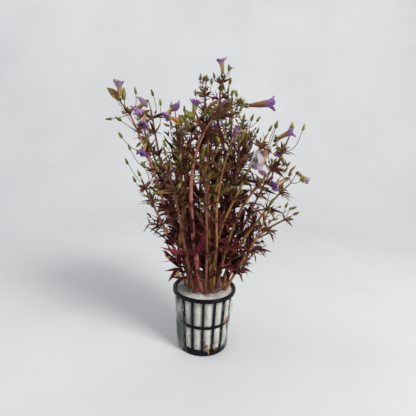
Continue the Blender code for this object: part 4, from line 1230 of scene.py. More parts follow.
leafValues = {
    "thickness": 0.32,
    "fold": (0.05, 0.45),
    "roll": (-50.0, 50.0),
    "twist": (-40.0, 40.0),
    "wave": (0.0, 0.22),
    "curl": (-0.10, 0.16),
    "widthShare": 0.92,
}
budValues = {
    "width": (1.5, 2.2),
    "ridge": 0.10,
    "stalkRadius": 0.23,
}
sepalValues = {
    "count": 5,
    "length": 4.0,
    "halfWidth": 0.55,
    "spread": 1.6,
}


def leafOutline(share):
    return max(math.sin(math.pi * share**0.75) ** 1.1, 0.20 * (1.0 - share) + 0.035)


# the materials of a stem's piece, in the order of plantMaterials
stemSlot, leafSlot, budSlot, stalkSlot, witheredSlot, petalSlot, fadedSlot = range(7)


def growLeaf(bm, shape, points, side, halfWidth, hue, chance, slotIndex=leafSlot, thickness=None, shade=None):
    line = Route(points, side)
    fold = chance.uniform(*leafValues["fold"])
    roll = math.radians(chance.uniform(*leafValues["roll"]))
    twist = math.radians(chance.uniform(*leafValues["twist"]))
    wave = chance.uniform(*leafValues["wave"])
    curl = chance.uniform(*leafValues["curl"]) * line.length
    phase = chance.uniform(0.0, tau)
    thick = (thickness or leafValues["thickness"]) * mm
    if shade is not None:
        roll, twist = roll * 0.25, twist * 0.4

    def rule(co):
        place, along, across, up = line.at(round(co.x, 5))
        turn = roll * min(1.0, co.x * 4.0) + twist * co.x
        over = across * math.cos(turn) + up * math.sin(turn)
        rise = up * math.cos(turn) - across * math.sin(turn)
        half = halfWidth * leafOutline(co.x) * (1.0 + 0.07 * math.sin(co.x * 47.0 + phase))
        lift = half * abs(co.y) * (fold + wave * math.sin(co.x * 11.0 + phase + co.y))
        skin = thick * (0.35 + 0.65 * (1.0 - abs(co.y))) * (1.0 - 0.55 * co.x)
        return place + over * (co.y * half) + rise * (lift + (co.z - 0.5) * skin - curl * co.x * co.x)

    addCopy(bm, shape, rule, hue, chance, slotIndex, None, shade)


def growTube(bm, shape, points, side, radiusAt, hue, chance, slotIndex, extra=None):
    line = Route(points, side)

    def rule(co):
        place, along, across, up = line.at(round(co.z, 5))
        return place + (across * co.x + up * co.y) * radiusAt(co.z)

    addCopy(bm, shape, rule, hue, chance, slotIndex, extra)


def growPod(bm, shape, foot, tip, width, hue, chance, slotIndex, ridges=5, flatness=1.0, bow=0.0, extra=None):
    axis = tip - foot
    length = axis.length
    turn = axis.normalized().to_track_quat("Z", "Y").to_matrix()
    roll = chance.uniform(0.0, tau)

    def rule(co):
        angle = math.atan2(co.y, co.x) + roll
        swell = math.sin(math.pi * co.z) ** 0.85 * (1.0 - 0.42 * co.z) * 1.28
        ridge = 1.0 + budValues["ridge"] * math.cos(ridges * angle)
        radius = width / 2.0 * swell * ridge if abs(co.x) + abs(co.y) > 0.001 else 0.0
        local = Vector((math.cos(angle) * radius, math.sin(angle) * radius * flatness + bow * length *
                        math.sin(math.pi * co.z), co.z * length))
        return foot + turn @ local

    addCopy(bm, shape, rule, hue, chance, slotIndex, extra)


def growSepals(bm, cup, facing, chance, hue=0.25, size=1.0):
    # a small green cup with pointed lobes that hold the foot of a flower
    growPod(bm, "bud", cup - facing * 0.5 * mm, cup + facing * 3.0 * mm * size, 2.0 * mm * size, hue, chance, budSlot)
    square = facing.orthogonal().normalized()
    start = chance.uniform(0.0, tau)
    for index in range(sepalValues["count"]):
        spin = Matrix.Rotation(start + tau * index / sepalValues["count"], 3, facing)
        out = spin @ square
        length = sepalValues["length"] * mm * chance.uniform(0.85, 1.15) * size
        points = [cup + out * 0.55 * mm * size, cup + facing * length * 0.45 + out * 1.25 * mm * size,
                  cup + facing * length + out * sepalValues["spread"] * mm * chance.uniform(0.9, 1.25) * size]
        growLeaf(bm, "smallLeaf", points, facing.cross(out), sepalValues["halfWidth"] * mm * size,
                 chance.uniform(0.55, 0.7), chance, leafSlot, 0.22)


def growBudOnStalk(bm, growth, chance):
    (root, outward, up), sections, tip = growth
    bend, foot = sections[0][0], sections[1][0]
    side = sections[0][1]
    radius = budValues["stalkRadius"] * mm
    growTube(bm, "stalk", [root - outward * 0.4 * mm, bend, foot + (tip - foot) * 0.08], side,
             lambda share: radius * (1.25 - 0.35 * share), chance.uniform(0.0, 0.5), chance, stalkSlot)
    width = chance.uniform(*budValues["width"]) * mm
    growPod(bm, "bud", foot, tip, width, chance.choice((0.0, 0.1, 0.2, 0.35, 0.5, 0.75)), chance, budSlot)
    square = (tip - foot).orthogonal().normalized()
    heading = (tip - foot).normalized()
    for index in range(3):
        out = Matrix.Rotation(tau * index / 3.0 + chance.uniform(0.0, 1.0), 3, heading) @ square
        start = foot + heading * 0.1 * mm
        points = [start, start + heading * 1.0 * mm + out * 0.75 * mm, start + heading * 2.3 * mm + out * 1.2 * mm]
        growLeaf(bm, "smallLeaf", points, heading.cross(out), 0.38 * mm, 0.65, chance, leafSlot, 0.2)


def leafHue(stem, share, chance):
    # dark maroon below, more brown and olive above
    olive = 0.05 + 0.6 * share + (0.10 if stemHues.get(stem.name, 0.3) > 0.5 else 0.0)
    if chance.random() < 0.06:
        return chance.uniform(0.85, 1.0)
    if share > 0.6 and chance.random() < 0.3:
        return chance.uniform(0.55, 0.68)
    return clamp(chance.gauss(olive * 0.62, 0.13), 0.0, 0.68)


skinValues = {
    "sunk": 3.5,  # millimetres of each foot inside the wool
    "nodeSwell": 0.34,
    "nodeReach": 1.1,  # millimetres
    "wobble": 0.05,
    "square": 0.06,  # how much a stem's four edges stand out
    "thickStout": 1.22,  # radius over the solid's, of the thick stem and of the others
    "stout": 0.92,
    "middleStout": 0.14,  # added halfway up
    "thinFrom": 0.6,  # the thick stem thins from this share of its length
    "thinOver": 0.2,
    "thinned": 0.22,
    "endRadius": 0.6,
}


def makeStem(stem, materials):
    chance = random.Random("look of " + stem.name)
    bm = newMesh()
    hue = stemHues.get(stem.name, chance.uniform(0.15, 0.6))
    sunk = skinValues["sunk"] * mm
    total = stem.length + sunk
    thick = stem.name == growthValues["thickStem"]
    found = solidGrowths(stem)
    frames = {}

    def nodeCloseness(distance):
        reach = skinValues["nodeReach"] * mm
        return max([math.exp(-((distance - node) / reach) ** 2) for node in stem.nodes] + [0.0])

    def skin(co):
        distance = co.z * total - sunk
        key = round(co.z, 5)
        if key not in frames:
            place = stem.frame(max(distance, 0.0))
            if distance < 0.0:
                place = Matrix.Translation((0.0, 0.0, distance)) @ place
            swell = 1.0 + skinValues["nodeSwell"] * nodeCloseness(distance)
            unevenness = noise.noise(Vector((distance / mm * 0.25, hue * 9.0, len(stem.name))))
            wobble = 1.0 + skinValues["wobble"] * unevenness
            middle = math.sin(math.pi * clamp(distance / stem.length))
            stout = skinValues["stout"] + skinValues["middleStout"] * middle
            if thick:
                stout = skinValues["thickStout"]
            frames[key] = (place, stem.radius(max(distance, 0.0)) * stout * swell * wobble)
        place, radius = frames[key]
        angle = math.atan2(co.y, co.x)
        radius *= 1.0 + skinValues["square"] * math.cos(4.0 * angle)
        if thick:
            radius *= 1.0 - skinValues["thinned"] * clamp((co.z - skinValues["thinFrom"]) / skinValues["thinOver"])
        if co.z > 0.995:
            radius *= skinValues["endRadius"]
        return place @ Vector((math.cos(angle) * radius, math.sin(angle) * radius, 0.0))

    # the set lightness goes in as the shade value; low ones are painted shade
    addCopy(bm, "stem", skin, hue, chance, stemSlot, lambda co: 0.75 * nodeCloseness(co.z * total - sunk),
            stemShades.get(stem.name, chance.uniform(0.1, 0.6)))

    for place, (kind, growth, key) in found.items():
        (root, outward, up), sections, tip = growth
        share = 1.0 if place == "end" else stem.nodes[place[0]] / stem.length
        if kind == "leaf":
            middle, side, rise, width, thickness = sections[0]
            points = [root - outward * 0.5 * mm, middle, tip]
            if key:
                leafTone, half = leafTips[stem.name][key]
                growLeaf(bm, "bigLeaf", points, side, half * mm, leafTone, chance, leafSlot, 0.45)
            else:
                half = width / 2.0 * leafValues["widthShare"]
                growLeaf(bm, "leaf", points, side, half, leafHue(stem, share, chance), chance)
        elif kind == "bud":
            growBudOnStalk(bm, growth, chance)
        else:
            bend, cup = sections[0][0], sections[1][0]
            facing = (tip - cup).normalized()
            growTube(bm, "stalk", [root - outward * 0.4 * mm, bend, cup + facing * 0.3 * mm], sections[0][1],
                     lambda share: 0.30 * mm * (1.2 - 0.2 * share), chance.uniform(0.1, 0.6), chance, stalkSlot)
            growSepals(bm, cup, facing, chance)
    addSmallLeaves(bm, stem, found, chance)
    bmesh.ops.recalc_face_normals(bm, faces=bm.faces)
    print(stem.name, "has", len(found), "growths and", len(bm.faces), "faces")
    newPiece(stem.name + "_shoot", bm, materials, stem.name, "stem_and_leaf", 60.0)


# small leaves between the larger ones, kept short so that they stay inside the bunch
tuftValues = {
    "free": 0.85,  # chance that a bare face of a node has a small leaf
    "freeLength": (0.4, 0.8),
    "tuftFrom": 0.2,  # share of the stem's height where the tufts begin
    "tuftCount": (3, 6),
    "tuftLength": (4.0, 10.0),
    "slimness": (0.10, 0.16),
    "innerTwigs": (1, 4),  # side shoots at each node, in the middle of the bunch
    "outerTwigs": (1, 2),
    "leafyStems": ("stem_02", "stem_06", "stem_08", "stem_10", "stem_16", "stem_19", "stem_21", "stem_22"),
    "outerLength": 0.66,
    "innerReach": 34.0,  # half width of the bunch's middle
    "frontAt": -13.0,  # nearer to the camera than this the stems carry few side shoots
    "clearStems": ("stem_01", "stem_02", "stem_03", "stem_04", "stem_05", "stem_06", "stem_08", "stem_10",
                   "stem_21"),
    "clearTo": 140.0,
    "twigsAbove": 56.0,
    "clearWidth": 2.2,
    "clearShare": 0.7,
    # nothing small stands here, before the crimson leaves
    "clearSpot": ((-36.0, -60.0, 74.0), (3.0, -20.0, 108.0)),
    "fillLeaves": 34,  # dark leaves inside the bunch
    "fillTo": 118.0,
    "fillLength": (11.0, 21.0),
    "sprigs": (0, 2),  # small green buds at each upper node
    "twigLength": (10.0, 24.0),
    "twigRadius": 0.40,
    "twigLeaf": (6.5, 13.0),
    "twigSlimness": (0.075, 0.12),
    "whorlSpacing": (4.0, 7.0),
    "lowLeaves": 9,  # thin dark leaves between the stems' feet
    "lowFrom": 9.0,
    "lowTo": 62.0,
    "lowLength": (9.0, 19.0),
}


def hidesFront(stem, place):
    # whether a place stands before one of the other stems that the photograph shows clearly
    if place.z > tuftValues["clearTo"] * mm:
        return False
    low, high = tuftValues["clearSpot"]
    if all(start * mm < value < end * mm for start, value, end in zip(low, place, high)):
        return True
    for name in tuftValues["clearStems"]:
        if name == stem.name:
            continue
        line = stems[name].places
        index = bisect.bisect_left(line, place.z, key=lambda point: point.z)
        if 0 < index < len(line) and abs(place.x - line[index].x) < tuftValues["clearWidth"] * mm:
            if place.y < line[index].y + 0.5 * mm:
                return True
    return False


def growSprig(bm, stem, distance, chance):
    # a thin stalk with one small green bud between two narrow leaves
    root, outward, up = stem.siteAt(distance, chance.uniform(0.0, tau), stem.radius(distance) * 0.6)
    heading = (outward * chance.uniform(0.5, 1.2) + up * chance.uniform(0.3, 1.0)).normalized()
    length = chance.uniform(4.5, 10.0) * mm
    bend = root + heading * length * 0.55 + outward * 0.08 * length
    foot = root + heading * length + Vector((0.0, 0.0, chance.uniform(-0.1, 0.25) * length))
    way = (foot - bend).normalized()
    growTube(bm, "stalk", [root, bend, foot + way * 0.2 * mm], outward.cross(up),
             lambda share: 0.19 * mm * (1.2 - 0.3 * share), chance.uniform(0.2, 0.9), chance, stalkSlot)
    growPod(bm, "bud", foot, foot + way * chance.uniform(2.6, 4.4) * mm, chance.uniform(1.2, 1.9) * mm,
            chance.choice((0.0, 0.05, 0.15, 0.3, 0.5)), chance, budSlot)
    growLeafPair(bm, foot, way, chance.uniform(2.4, 4.6) * mm, chance)


def growLeafPair(bm, foot, way, length, chance):
    square = way.orthogonal().normalized()
    start = chance.uniform(0.0, tau)
    for index in range(2):
        out = Matrix.Rotation(start + math.pi * index, 3, way) @ square
        points = [foot, foot + way * length * 0.45 + out * length * 0.3,
                  foot + way * length * 0.8 + out * length * 0.65]
        growLeaf(bm, "smallLeaf", points, way.cross(out), length * 0.12, chance.uniform(0.55, 0.66), chance,
                 leafSlot, 0.2)


def growTwig(bm, stem, distance, angle, length, chance):
    # a side shoot with whorls of small leaves
    root, outward, up = stem.siteAt(distance, angle, stem.radius(distance) * 0.6)
    lean = math.radians(chance.uniform(25.0, 62.0))
    heading = outward * math.sin(lean) + up * math.cos(lean)
    end = root + heading * length + Vector((0.0, 0.0, 0.12 * length))
    if end.z < tuftValues["twigsAbove"] * mm:
        return
    inFront = hidesFront(stem, end) or hidesFront(stem, blend(root, end, 0.5))
    if inFront and chance.random() < tuftValues["clearShare"]:
        return
    line = Route([root, root + heading * length * 0.5, end], outward.cross(up))
    radius = tuftValues["twigRadius"] * mm
    growTube(bm, "stalk", [root, root + heading * length * 0.5, end], outward.cross(up),
             lambda share: radius * (1.0 - 0.45 * share), chance.uniform(0.0, 0.3), chance, stalkSlot)
    share = distance / stem.length
    spot = chance.uniform(0.25, 0.4)
    while spot < 1.02:
        place, along, across, rise = line.at(min(spot, 1.0))
        start = chance.uniform(0.0, tau)
        count = chance.randint(3, 4)
        for index in range(count):
            turn = start + tau * index / count
            out = across * math.cos(turn) + rise * math.sin(turn)
            size = chance.uniform(*tuftValues["twigLeaf"]) * mm * (1.0 - 0.3 * spot) * (1.1 - 0.35 * share)
            tilt = math.radians(chance.uniform(35.0, 85.0) if spot < 0.95 else chance.uniform(12.0, 50.0))
            way = out * math.sin(tilt) + along * math.cos(tilt)
            droop = Vector((0.0, 0.0, chance.uniform(-0.05, 0.3) * size))
            points = [place, place + way * size * 0.5 + up * 0.05 * size, place + way * size - droop]
            inFront = hidesFront(stem, points[1]) or hidesFront(stem, points[2])
            if inFront and chance.random() < tuftValues["clearShare"]:
                continue
            growLeaf(bm, "twigLeaf", points, along.cross(out), size * chance.uniform(*tuftValues["twigSlimness"]),
                     leafHue(stem, share, chance), chance)
        spot += chance.uniform(*tuftValues["whorlSpacing"]) * mm / length
    if end.z > 118.0 * mm and chance.random() < 0.55:
        place, along, across, rise = line.at(1.0)
        growPod(bm, "bud", place, place + along * chance.uniform(2.6, 4.2) * mm, chance.uniform(1.2, 1.8) * mm,
                chance.choice((0.0, 0.1, 0.3, 0.5)), chance, budSlot)


def smallLeaf(bm, stem, distance, angle, length, hue, chance):
    root, outward, up = stem.siteAt(distance, angle, stem.radius(distance) * 0.7)
    lean = math.radians(chance.uniform(25.0, 85.0))
    heading = outward * math.sin(lean) + up * math.cos(lean)
    middle = root + heading * length * 0.45 + up * length * chance.uniform(-0.02, 0.08)
    tip = root + heading * length + Vector((0.0, 0.0, chance.uniform(-0.3, 0.08) * length))
    if tip.z < 53.0 * mm:
        return
    if (hidesFront(stem, middle) or hidesFront(stem, tip)) and chance.random() < tuftValues["clearShare"]:
        return
    half = length * chance.uniform(*tuftValues["slimness"])
    if chance.random() < 0.03:
        growLeaf(bm, "smallLeaf", [root, middle, tip], outward.cross(up), half, chance.uniform(0.0, 0.3), chance,
                 witheredSlot)
        return
    growLeaf(bm, "smallLeaf", [root, middle, tip], outward.cross(up), half, hue, chance)


def addLowLeaves(bm, stem, chance):
    for index in range(tuftValues["lowLeaves"]):
        distance = chance.uniform(tuftValues["lowFrom"], tuftValues["lowTo"]) * mm
        root, outward, up = stem.siteAt(distance, chance.uniform(0.0, tau), stem.radius(distance) * 0.7)
        lean = math.radians(chance.uniform(6.0, 34.0))
        length = chance.uniform(*tuftValues["lowLength"]) * mm
        heading = outward * math.sin(lean) + up * math.cos(lean)
        middle = root + heading * length * 0.5 + outward * length * 0.06
        half = length * chance.uniform(0.05, 0.08)
        growLeaf(bm, "smallLeaf", [root, middle, root + heading * length], outward.cross(up), half,
                 chance.uniform(0.0, 0.25), chance)


def addFill(bm, stem, chance):
    # dark leaves that close the inside of the bunch
    for index in range(tuftValues["fillLeaves"]):
        distance = chance.uniform(12.0, tuftValues["fillTo"]) * mm
        root, outward, up = stem.siteAt(distance, chance.uniform(0.0, tau), stem.radius(distance) * 0.7)
        if root.y < tuftValues["frontAt"] * mm * 0.5 or abs(root.x) > tuftValues["innerReach"] * mm:
            continue
        lean = math.radians(chance.uniform(8.0, 48.0))
        length = chance.uniform(*tuftValues["fillLength"]) * mm
        heading = outward * math.sin(lean) + up * math.cos(lean)
        tip = root + heading * length
        if hidesFront(stem, tip) or hidesFront(stem, blend(root, tip, 0.5)):
            continue
        middle = root + heading * length * 0.5 + outward * length * 0.08
        growLeaf(bm, "smallLeaf", [root, middle, tip], outward.cross(up), length * chance.uniform(0.08, 0.12),
                 chance.uniform(0.0, 0.3), chance)


# single things that the photograph shows: kind, stem that carries it, foot, tip, size and hue
standOuts = [
    ("boat", "stem_14", (-1.9, -15.0, 193.0), (7.0, -16.0, 198.6), 2.3, 0.5),
    ("boat", "stem_06", (34.7, -26.0, 160.3), (41.5, -27.0, 168.1), 2.4, 0.65),
    ("boat", "stem_08", (57.9, -19.0, 148.5), (62.1, -20.0, 155.9), 1.6, 0.25),
    ("boat", "stem_25", (-19.5, -26.5, 181.0), (-27.5, -27.0, 185.5), 2.2, 0.45),
    ("boat", "stem_13", (-14.5, -14.0, 181.0), (-20.0, -17.0, 176.0), 2.2, 0.6),
    ("boat", "stem_02", (-43.5, -15.5, 190.0), (-49.5, -18.0, 185.0), 1.9, 0.7),
    ("boat", "stem_10", (53.0, -19.5, 168.0), (46.0, -21.0, 163.5), 2.0, 0.55),
    ("pod", "stem_01", (-58.3, -24.5, 196.3), (-59.0, -22.5, 204.5), 3.0, 0.3),
    ("pod", "stem_10", (56.5, -19.0, 180.5), (57.5, -18.0, 186.0), 2.0, 0.35),
    ("pod", "stem_05", (19.0, -9.0, 181.5), (24.5, -9.0, 179.5), 1.9, 0.45),
    ("rosette", "stem_26", (18.7, -12.0, 194.0), (21.7, -14.0, 199.5), 4.6, 0.66),
    ("blade", "stem_04", (-14.3, -27.0, 159.7), (12.0, -35.0, 165.6), 1.15, 0.36),
    ("blade", "stem_04", (-4.9, -30.0, 177.0), (11.0, -36.0, 180.0), 1.15, 0.42),
    ("blade", "stem_04", (-6.3, -29.5, 176.5), (-10.6, -35.0, 192.0), 1.2, 0.5),
    ("blade", "stem_04", (-13.6, -26.5, 160.3), (-22.3, -34.0, 172.6), 1.1, 0.34),
    ("blade", "stem_04", (-12.2, -25.0, 125.6), (-30.8, -32.0, 131.6), 1.3, 0.14),
    ("blade", "stem_04", (-11.4, -25.0, 126.3), (2.8, -32.0, 136.5), 1.3, 0.2),
    ("blade", "stem_04", (1.0, -31.0, 184.5), (15.5, -37.0, 196.4), 1.8, 0.6),
    ("blade", "stem_04", (4.3, -30.5, 187.2), (20.0, -37.0, 190.0), 1.3, 0.45),
    ("blade", "stem_04", (2.0, -31.0, 186.0), (7.0, -37.0, 197.5), 1.4, 0.55),
    ("leaf", "stem_06", (37.0, -26.0, 165.5), (26.0, -29.0, 153.5), 3.7, 0.2),
    ("leaf", "stem_06", (35.5, -27.0, 165.0), (32.5, -31.0, 155.0), 2.6, 0.2),
    ("leaf", "stem_02", (-44.0, -18.0, 192.0), (-51.0, -22.0, 199.0), 2.4, 0.3),
    ("leaf", "stem_02", (-45.5, -20.0, 190.0), (-53.0, -23.0, 187.0), 2.0, 0.45),
    ("leaf", "stem_03", (-27.8, -6.7, 190.6), (-22.0, -12.0, 198.5), 2.4, 0.45),
    ("leaf", "stem_01", (-60.0, -28.0, 203.0), (-63.5, -31.0, 208.5), 2.4, 0.3),
    ("boat", "stem_01", (-61.5, -26.0, 196.0), (-68.5, -28.0, 202.5), 2.5, 0.55),
    ("boat", "stem_14", (-5.0, -19.0, 181.0), (-12.5, -22.0, 184.5), 2.3, 0.55),
    ("leaf", "stem_04", (-6.6, -16.0, 82.0), (-2.4, -24.5, 109.0), 2.6, 1.0),
    ("leaf", "stem_04", (-8.4, -16.2, 84.0), (-33.5, -27.0, 93.5), 1.9, 1.0),
    ("rosette", "stem_11", (7.5, 4.0, 207.0), (7.5, 4.0, 210.0), 3.0, 0.6),
    ("rosette", "stem_12", (-4.5, 2.0, 212.0), (-4.5, 2.0, 216.0), 3.2, 0.6),
    ("globe", "stem_25", (-14.6, -26.5, 184.5), (-14.6, -26.5, 189.5), 4.3, 0.0),
    ("globe", "stem_08", (67.0, -17.5, 144.5), (69.5, -17.5, 146.5), 2.6, 0.15),
    ("globe", "stem_03", (-33.0, 1.0, 186.5), (-34.5, 1.0, 190.0), 2.4, 0.25),
    ("gold", "stem_21", (-29.0, -15.0, 103.4), (-32.4, -15.0, 105.0), 1.3, 0.05),
    ("gold", "stem_21", (-26.6, -15.0, 81.0), (-30.6, -15.0, 82.2), 1.1, 0.1),
    ("gold", "stem_21", (-22.4, -15.0, 66.0), (-19.6, -15.0, 71.4), 1.3, 0.0),
    ("gold", "stem_21", (-30.6, -11.0, 101.0), (-33.4, -13.5, 105.2), 1.3, 0.0),
    ("gold", "stem_21", (-28.4, -6.0, 77.0), (-32.0, -6.5, 79.4), 1.3, 0.1),
    ("gold", "stem_21", (-21.8, -7.0, 61.2), (-20.6, -9.5, 66.0), 1.3, 0.0),
    ("gold", "stem_04", (-14.2, -21.0, 122.4), (-15.8, -24.0, 126.6), 1.3, 0.15),
    ("gold", "stem_01", (-27.0, -22.0, 136.6), (-28.5, -25.0, 140.0), 1.0, 0.3),
    ("gold", "stem_02", (-22.9, -6.0, 74.0), (-21.2, -9.5, 78.4), 1.3, 0.0),
    ("shoot", "stem_04", (-6.5, -15.0, 56.0), (3.5, -16.5, 53.2), 0.5, 1.0),
    ("shoot", "stem_04", (-4.5, -13.5, 52.4), (-9.5, -12.0, 58.5), 0.45, 1.0),
    ("shoot", "stem_24", (3.5, -15.0, 53.0), (11.5, -14.5, 60.5), 0.5, 1.0),
    ("shoot", "stem_24", (0.5, -16.5, 53.4), (6.5, -18.0, 54.6), 0.45, 0.95),
    ("shoot", "stem_15", (9.5, -12.0, 52.2), (16.5, -12.5, 57.0), 0.45, 0.9),
]


standOutValues = {
    "petalReach": 3.6,  # a faded petal farther off its stem than this hangs free at its foot
    "rosetteLeaves": 30,
    "headPods": 9,
    "spiral": 2.39996,  # turn from one leaf of a head to the next
}


def growStandOut(bm, stem, chance, kind, foot, tip, size, hue):
    foot, tip, size = Vector(foot) * mm, Vector(tip) * mm, size * mm
    line = tip - foot
    heading = line.normalized()
    nearest = min(stem.places, key=lambda place: (place - foot).length)
    bend = blend(nearest, foot, 0.5) + (foot - nearest).length * 0.12 * Vector((0.0, 0.0, -1.0))
    broad = line.cross(Vector((0.1, 1.0, 0.2)))
    if kind in ("leaf", "blade"):
        middle = blend(foot, tip, 0.5) + Vector((1.2, -2.5, 0.0)) * mm
        petal = kind == "leaf" and hue < 0.5
        root = foot if petal and (foot - nearest).length > standOutValues["petalReach"] * mm else nearest
        growLeaf(bm, "bigLeaf", [root, middle, tip], broad, size, hue, chance,
                 fadedSlot if petal else leafSlot, 0.4, 1.0 if kind == "leaf" else 0.5)
        return
    if kind == "gold":
        growLeaf(bm, "leaf", [nearest, bend, blend(foot, tip, 0.2)], Vector((0.3, 1.0, 0.1)), 0.75 * mm, 0.1,
                 chance)
        growLeaf(bm, "smallLeaf", [foot, blend(foot, tip, 0.5), tip], broad, size, hue, chance, witheredSlot,
                 None, 1.0)
        return
    if (foot - nearest).length > 0.5 * mm:
        growTube(bm, "shoot", [nearest, bend, foot + heading * 0.4 * mm], Vector((0.0, 1.0, 0.3)),
                 lambda share: (size * 0.6 if kind == "shoot" else 0.32 * mm) * (1.15 - 0.3 * share), 0.2, chance,
                 stalkSlot)
    if kind == "boat":
        # a spent flower folded along its length
        growPod(bm, "pod", foot, tip, size * 1.7, hue, chance, witheredSlot, 3, 0.55, 0.10)
        middle = blend(foot, tip, 0.5) + Vector((0.0, -0.08, 0.12)) * line.length
        growLeaf(bm, "bigLeaf", [foot, middle, tip + heading * mm], Vector((0.2, 1.0, 0.3)), size, hue, chance,
                 witheredSlot, 0.3)
        growSepals(bm, foot - heading * 0.4 * mm, heading, chance, 0.3, 0.8)
    elif kind == "pod":
        growPod(bm, "pod", foot, tip, size, hue, chance, budSlot, 5, 0.9)
        growSepals(bm, foot - heading * 0.3 * mm, heading, chance, 0.2, 0.75)
    elif kind == "shoot":
        middle = blend(foot, tip, 0.5) + Vector((0.0, -0.6, 0.7)) * mm
        growTube(bm, "shoot", [foot, middle, tip], Vector((0.0, 1.0, 0.0)), lambda share: size * (1.0 - 0.5 * share),
                 hue, chance, leafSlot)
        for index in range(4):
            side = Vector((chance.uniform(-1.0, 1.0), chance.uniform(-1.0, 0.2), chance.uniform(-0.1, 1.0)))
            way = (heading + side).normalized()
            start = blend(foot, tip, 0.35 + 0.2 * index)
            growLeaf(bm, "smallLeaf", [start, start + way * 2.0 * mm, start + way * 4.2 * mm], way.orthogonal(),
                     0.55 * mm, hue, chance)
    else:
        # a head of short green leaves, or of small round pods
        centre = blend(foot, tip, 0.5)
        turn = heading.to_track_quat("Z", "Y").to_matrix()
        count = standOutValues["rosetteLeaves" if kind == "rosette" else "headPods"]
        for index in range(count):
            height = 1.0 - 1.5 * (index + 0.5) / count
            angle = index * standOutValues["spiral"] + chance.uniform(-0.2, 0.2)
            ring = math.sqrt(1.0 - height * height)
            way = turn @ Vector((ring * math.cos(angle), ring * math.sin(angle), height))
            reach = size * chance.uniform(0.85, 1.2)
            if kind == "rosette":
                points = [centre + way * 0.15 * size, centre + way * reach * 0.6,
                          centre + way * reach + heading * 0.15 * size]
                growLeaf(bm, "smallLeaf", points, way.cross(heading), 0.6 * mm, hue + chance.uniform(-0.1, 0.0),
                         chance)
                if index % 3 == 0:
                    growPod(bm, "bud", centre + way * 0.1 * size, centre + way * size * 0.7, 1.7 * mm, 0.0,
                            chance, budSlot)
            else:
                growPod(bm, "bud", centre + way * 0.2 * size, centre + way * reach, size * 0.75,
                        hue + chance.uniform(0.0, 0.2), chance, budSlot)


def addSmallLeaves(bm, stem, found, chance):
    for node, distance in enumerate(stem.nodes):
        share = distance / stem.length
        full = blend(*growthValues["leafLength"], share) * mm
        for quarter in range(4):
            if (node, quarter) not in found and chance.random() < tuftValues["free"]:
                length = full * chance.uniform(*tuftValues["freeLength"])
                smallLeaf(bm, stem, distance, tau * (quarter + 0.5) / 4 + chance.uniform(-0.3, 0.3), length,
                          leafHue(stem, share, chance), chance)
        if share > tuftValues["tuftFrom"]:
            for index in range(chance.randint(*tuftValues["tuftCount"])):
                smallLeaf(bm, stem, distance + chance.uniform(-0.6, 0.8) * mm, chance.uniform(0.0, tau),
                          chance.uniform(*tuftValues["tuftLength"]) * mm, leafHue(stem, share, chance), chance)
            spot = stem.frame(distance).translation
            inner = abs(spot.x) < tuftValues["innerReach"] * mm and spot.y > tuftValues["frontAt"] * mm
            extra = 1 if stem.name in tuftValues["leafyStems"] and share > 0.35 else 0
            for index in range(chance.randint(*tuftValues["innerTwigs" if inner else "outerTwigs"]) + extra):
                length = chance.uniform(*tuftValues["twigLength"]) * mm * (1.2 - 0.75 * share)
                length *= 1.0 if inner else tuftValues["outerLength"]
                growTwig(bm, stem, distance, chance.uniform(0.0, tau), length, chance)
            if share > 0.55:
                for index in range(chance.randint(*tuftValues["sprigs"])):
                    growSprig(bm, stem, distance + chance.uniform(-1.0, 1.0) * mm, chance)
    addLowLeaves(bm, stem, chance)
    addFill(bm, stem, chance)
    for kind, carrier, *rest in standOuts:
        if carrier == stem.name:
            growStandOut(bm, stem, chance, kind, *rest)


plantMaterials = [make(colourValues) for make in (stemMaterial, leafMaterial, budMaterial, stalkMaterial,
                                                  witheredMaterial, petalMaterial, fadedMaterial)]
stems = {name: Stem(name) for name in stemRoutes}
for stem in stems.values():
    makeStem(stem, plantMaterials)
print("stems made")

# ---- bits of dead root that hang on the front of the pot, in millimetres

rootValues = {
    # places, radius and hue of each bit
    "bits": [
        ([(1.2, -21.9, 14.6), (1.4, -22.3, 12.2), (2.0, -22.2, 10.2), (3.6, -22.3, 8.6), (5.0, -21.9, 7.0)],
         0.6, 1.0),
        ([(2.4, -22.2, 9.8), (1.3, -22.7, 8.4), (2.0, -22.6, 6.4), (3.8, -22.4, 6.0)], 0.75, 1.0),
        ([(4.4, -22.1, 7.4), (5.0, -22.2, 5.6), (5.3, -22.1, 3.4)], 0.8, 0.05),
        ([(9.2, -20.5, 7.0), (8.3, -21.0, 9.8), (8.8, -20.9, 12.2), (10.6, -20.0, 12.9), (12.6, -18.9, 12.5)],
         0.42, 0.75),
        ([(9.2, -20.5, 7.4), (10.4, -20.2, 5.8), (12.0, -19.4, 6.2)], 0.42, 1.0),
    ],
}


def makeRoots(values):
    chance = random.Random("roots")
    bm = newMesh()
    for places, radius, hue in values["bits"]:
        points = [Vector(place) * mm for place in places]
        growTube(bm, "shoot", points, Vector((1.0, 0.2, 0.0)), lambda share: radius * mm * (1.1 - 0.75 * share),
                 hue, chance, 0)
        for index in range(3):
            start = blend(points[0], points[1], index * 0.4)
            side = (chance.uniform(-1.0, 1.0), chance.uniform(-0.3, 0.0), chance.uniform(-1.0, 0.6))
            way = Vector(side).normalized()
            hair = [start, start + way * 0.9 * mm, start + way * 1.6 * mm + Vector((0.0, 0.2, -0.5)) * mm]
            growTube(bm, "stalk", hair, way.orthogonal(), lambda share: 0.10 * mm * (1.2 - share), 0.9, chance, 0)
    bmesh.ops.recalc_face_normals(bm, faces=bm.faces)
    newPiece("loose_root_bits", bm, [plantMaterials[witheredSlot]], None, "stem_and_leaf", 60.0)


makeRoots(rootValues)
print("root bits made")

# ---- open flowers

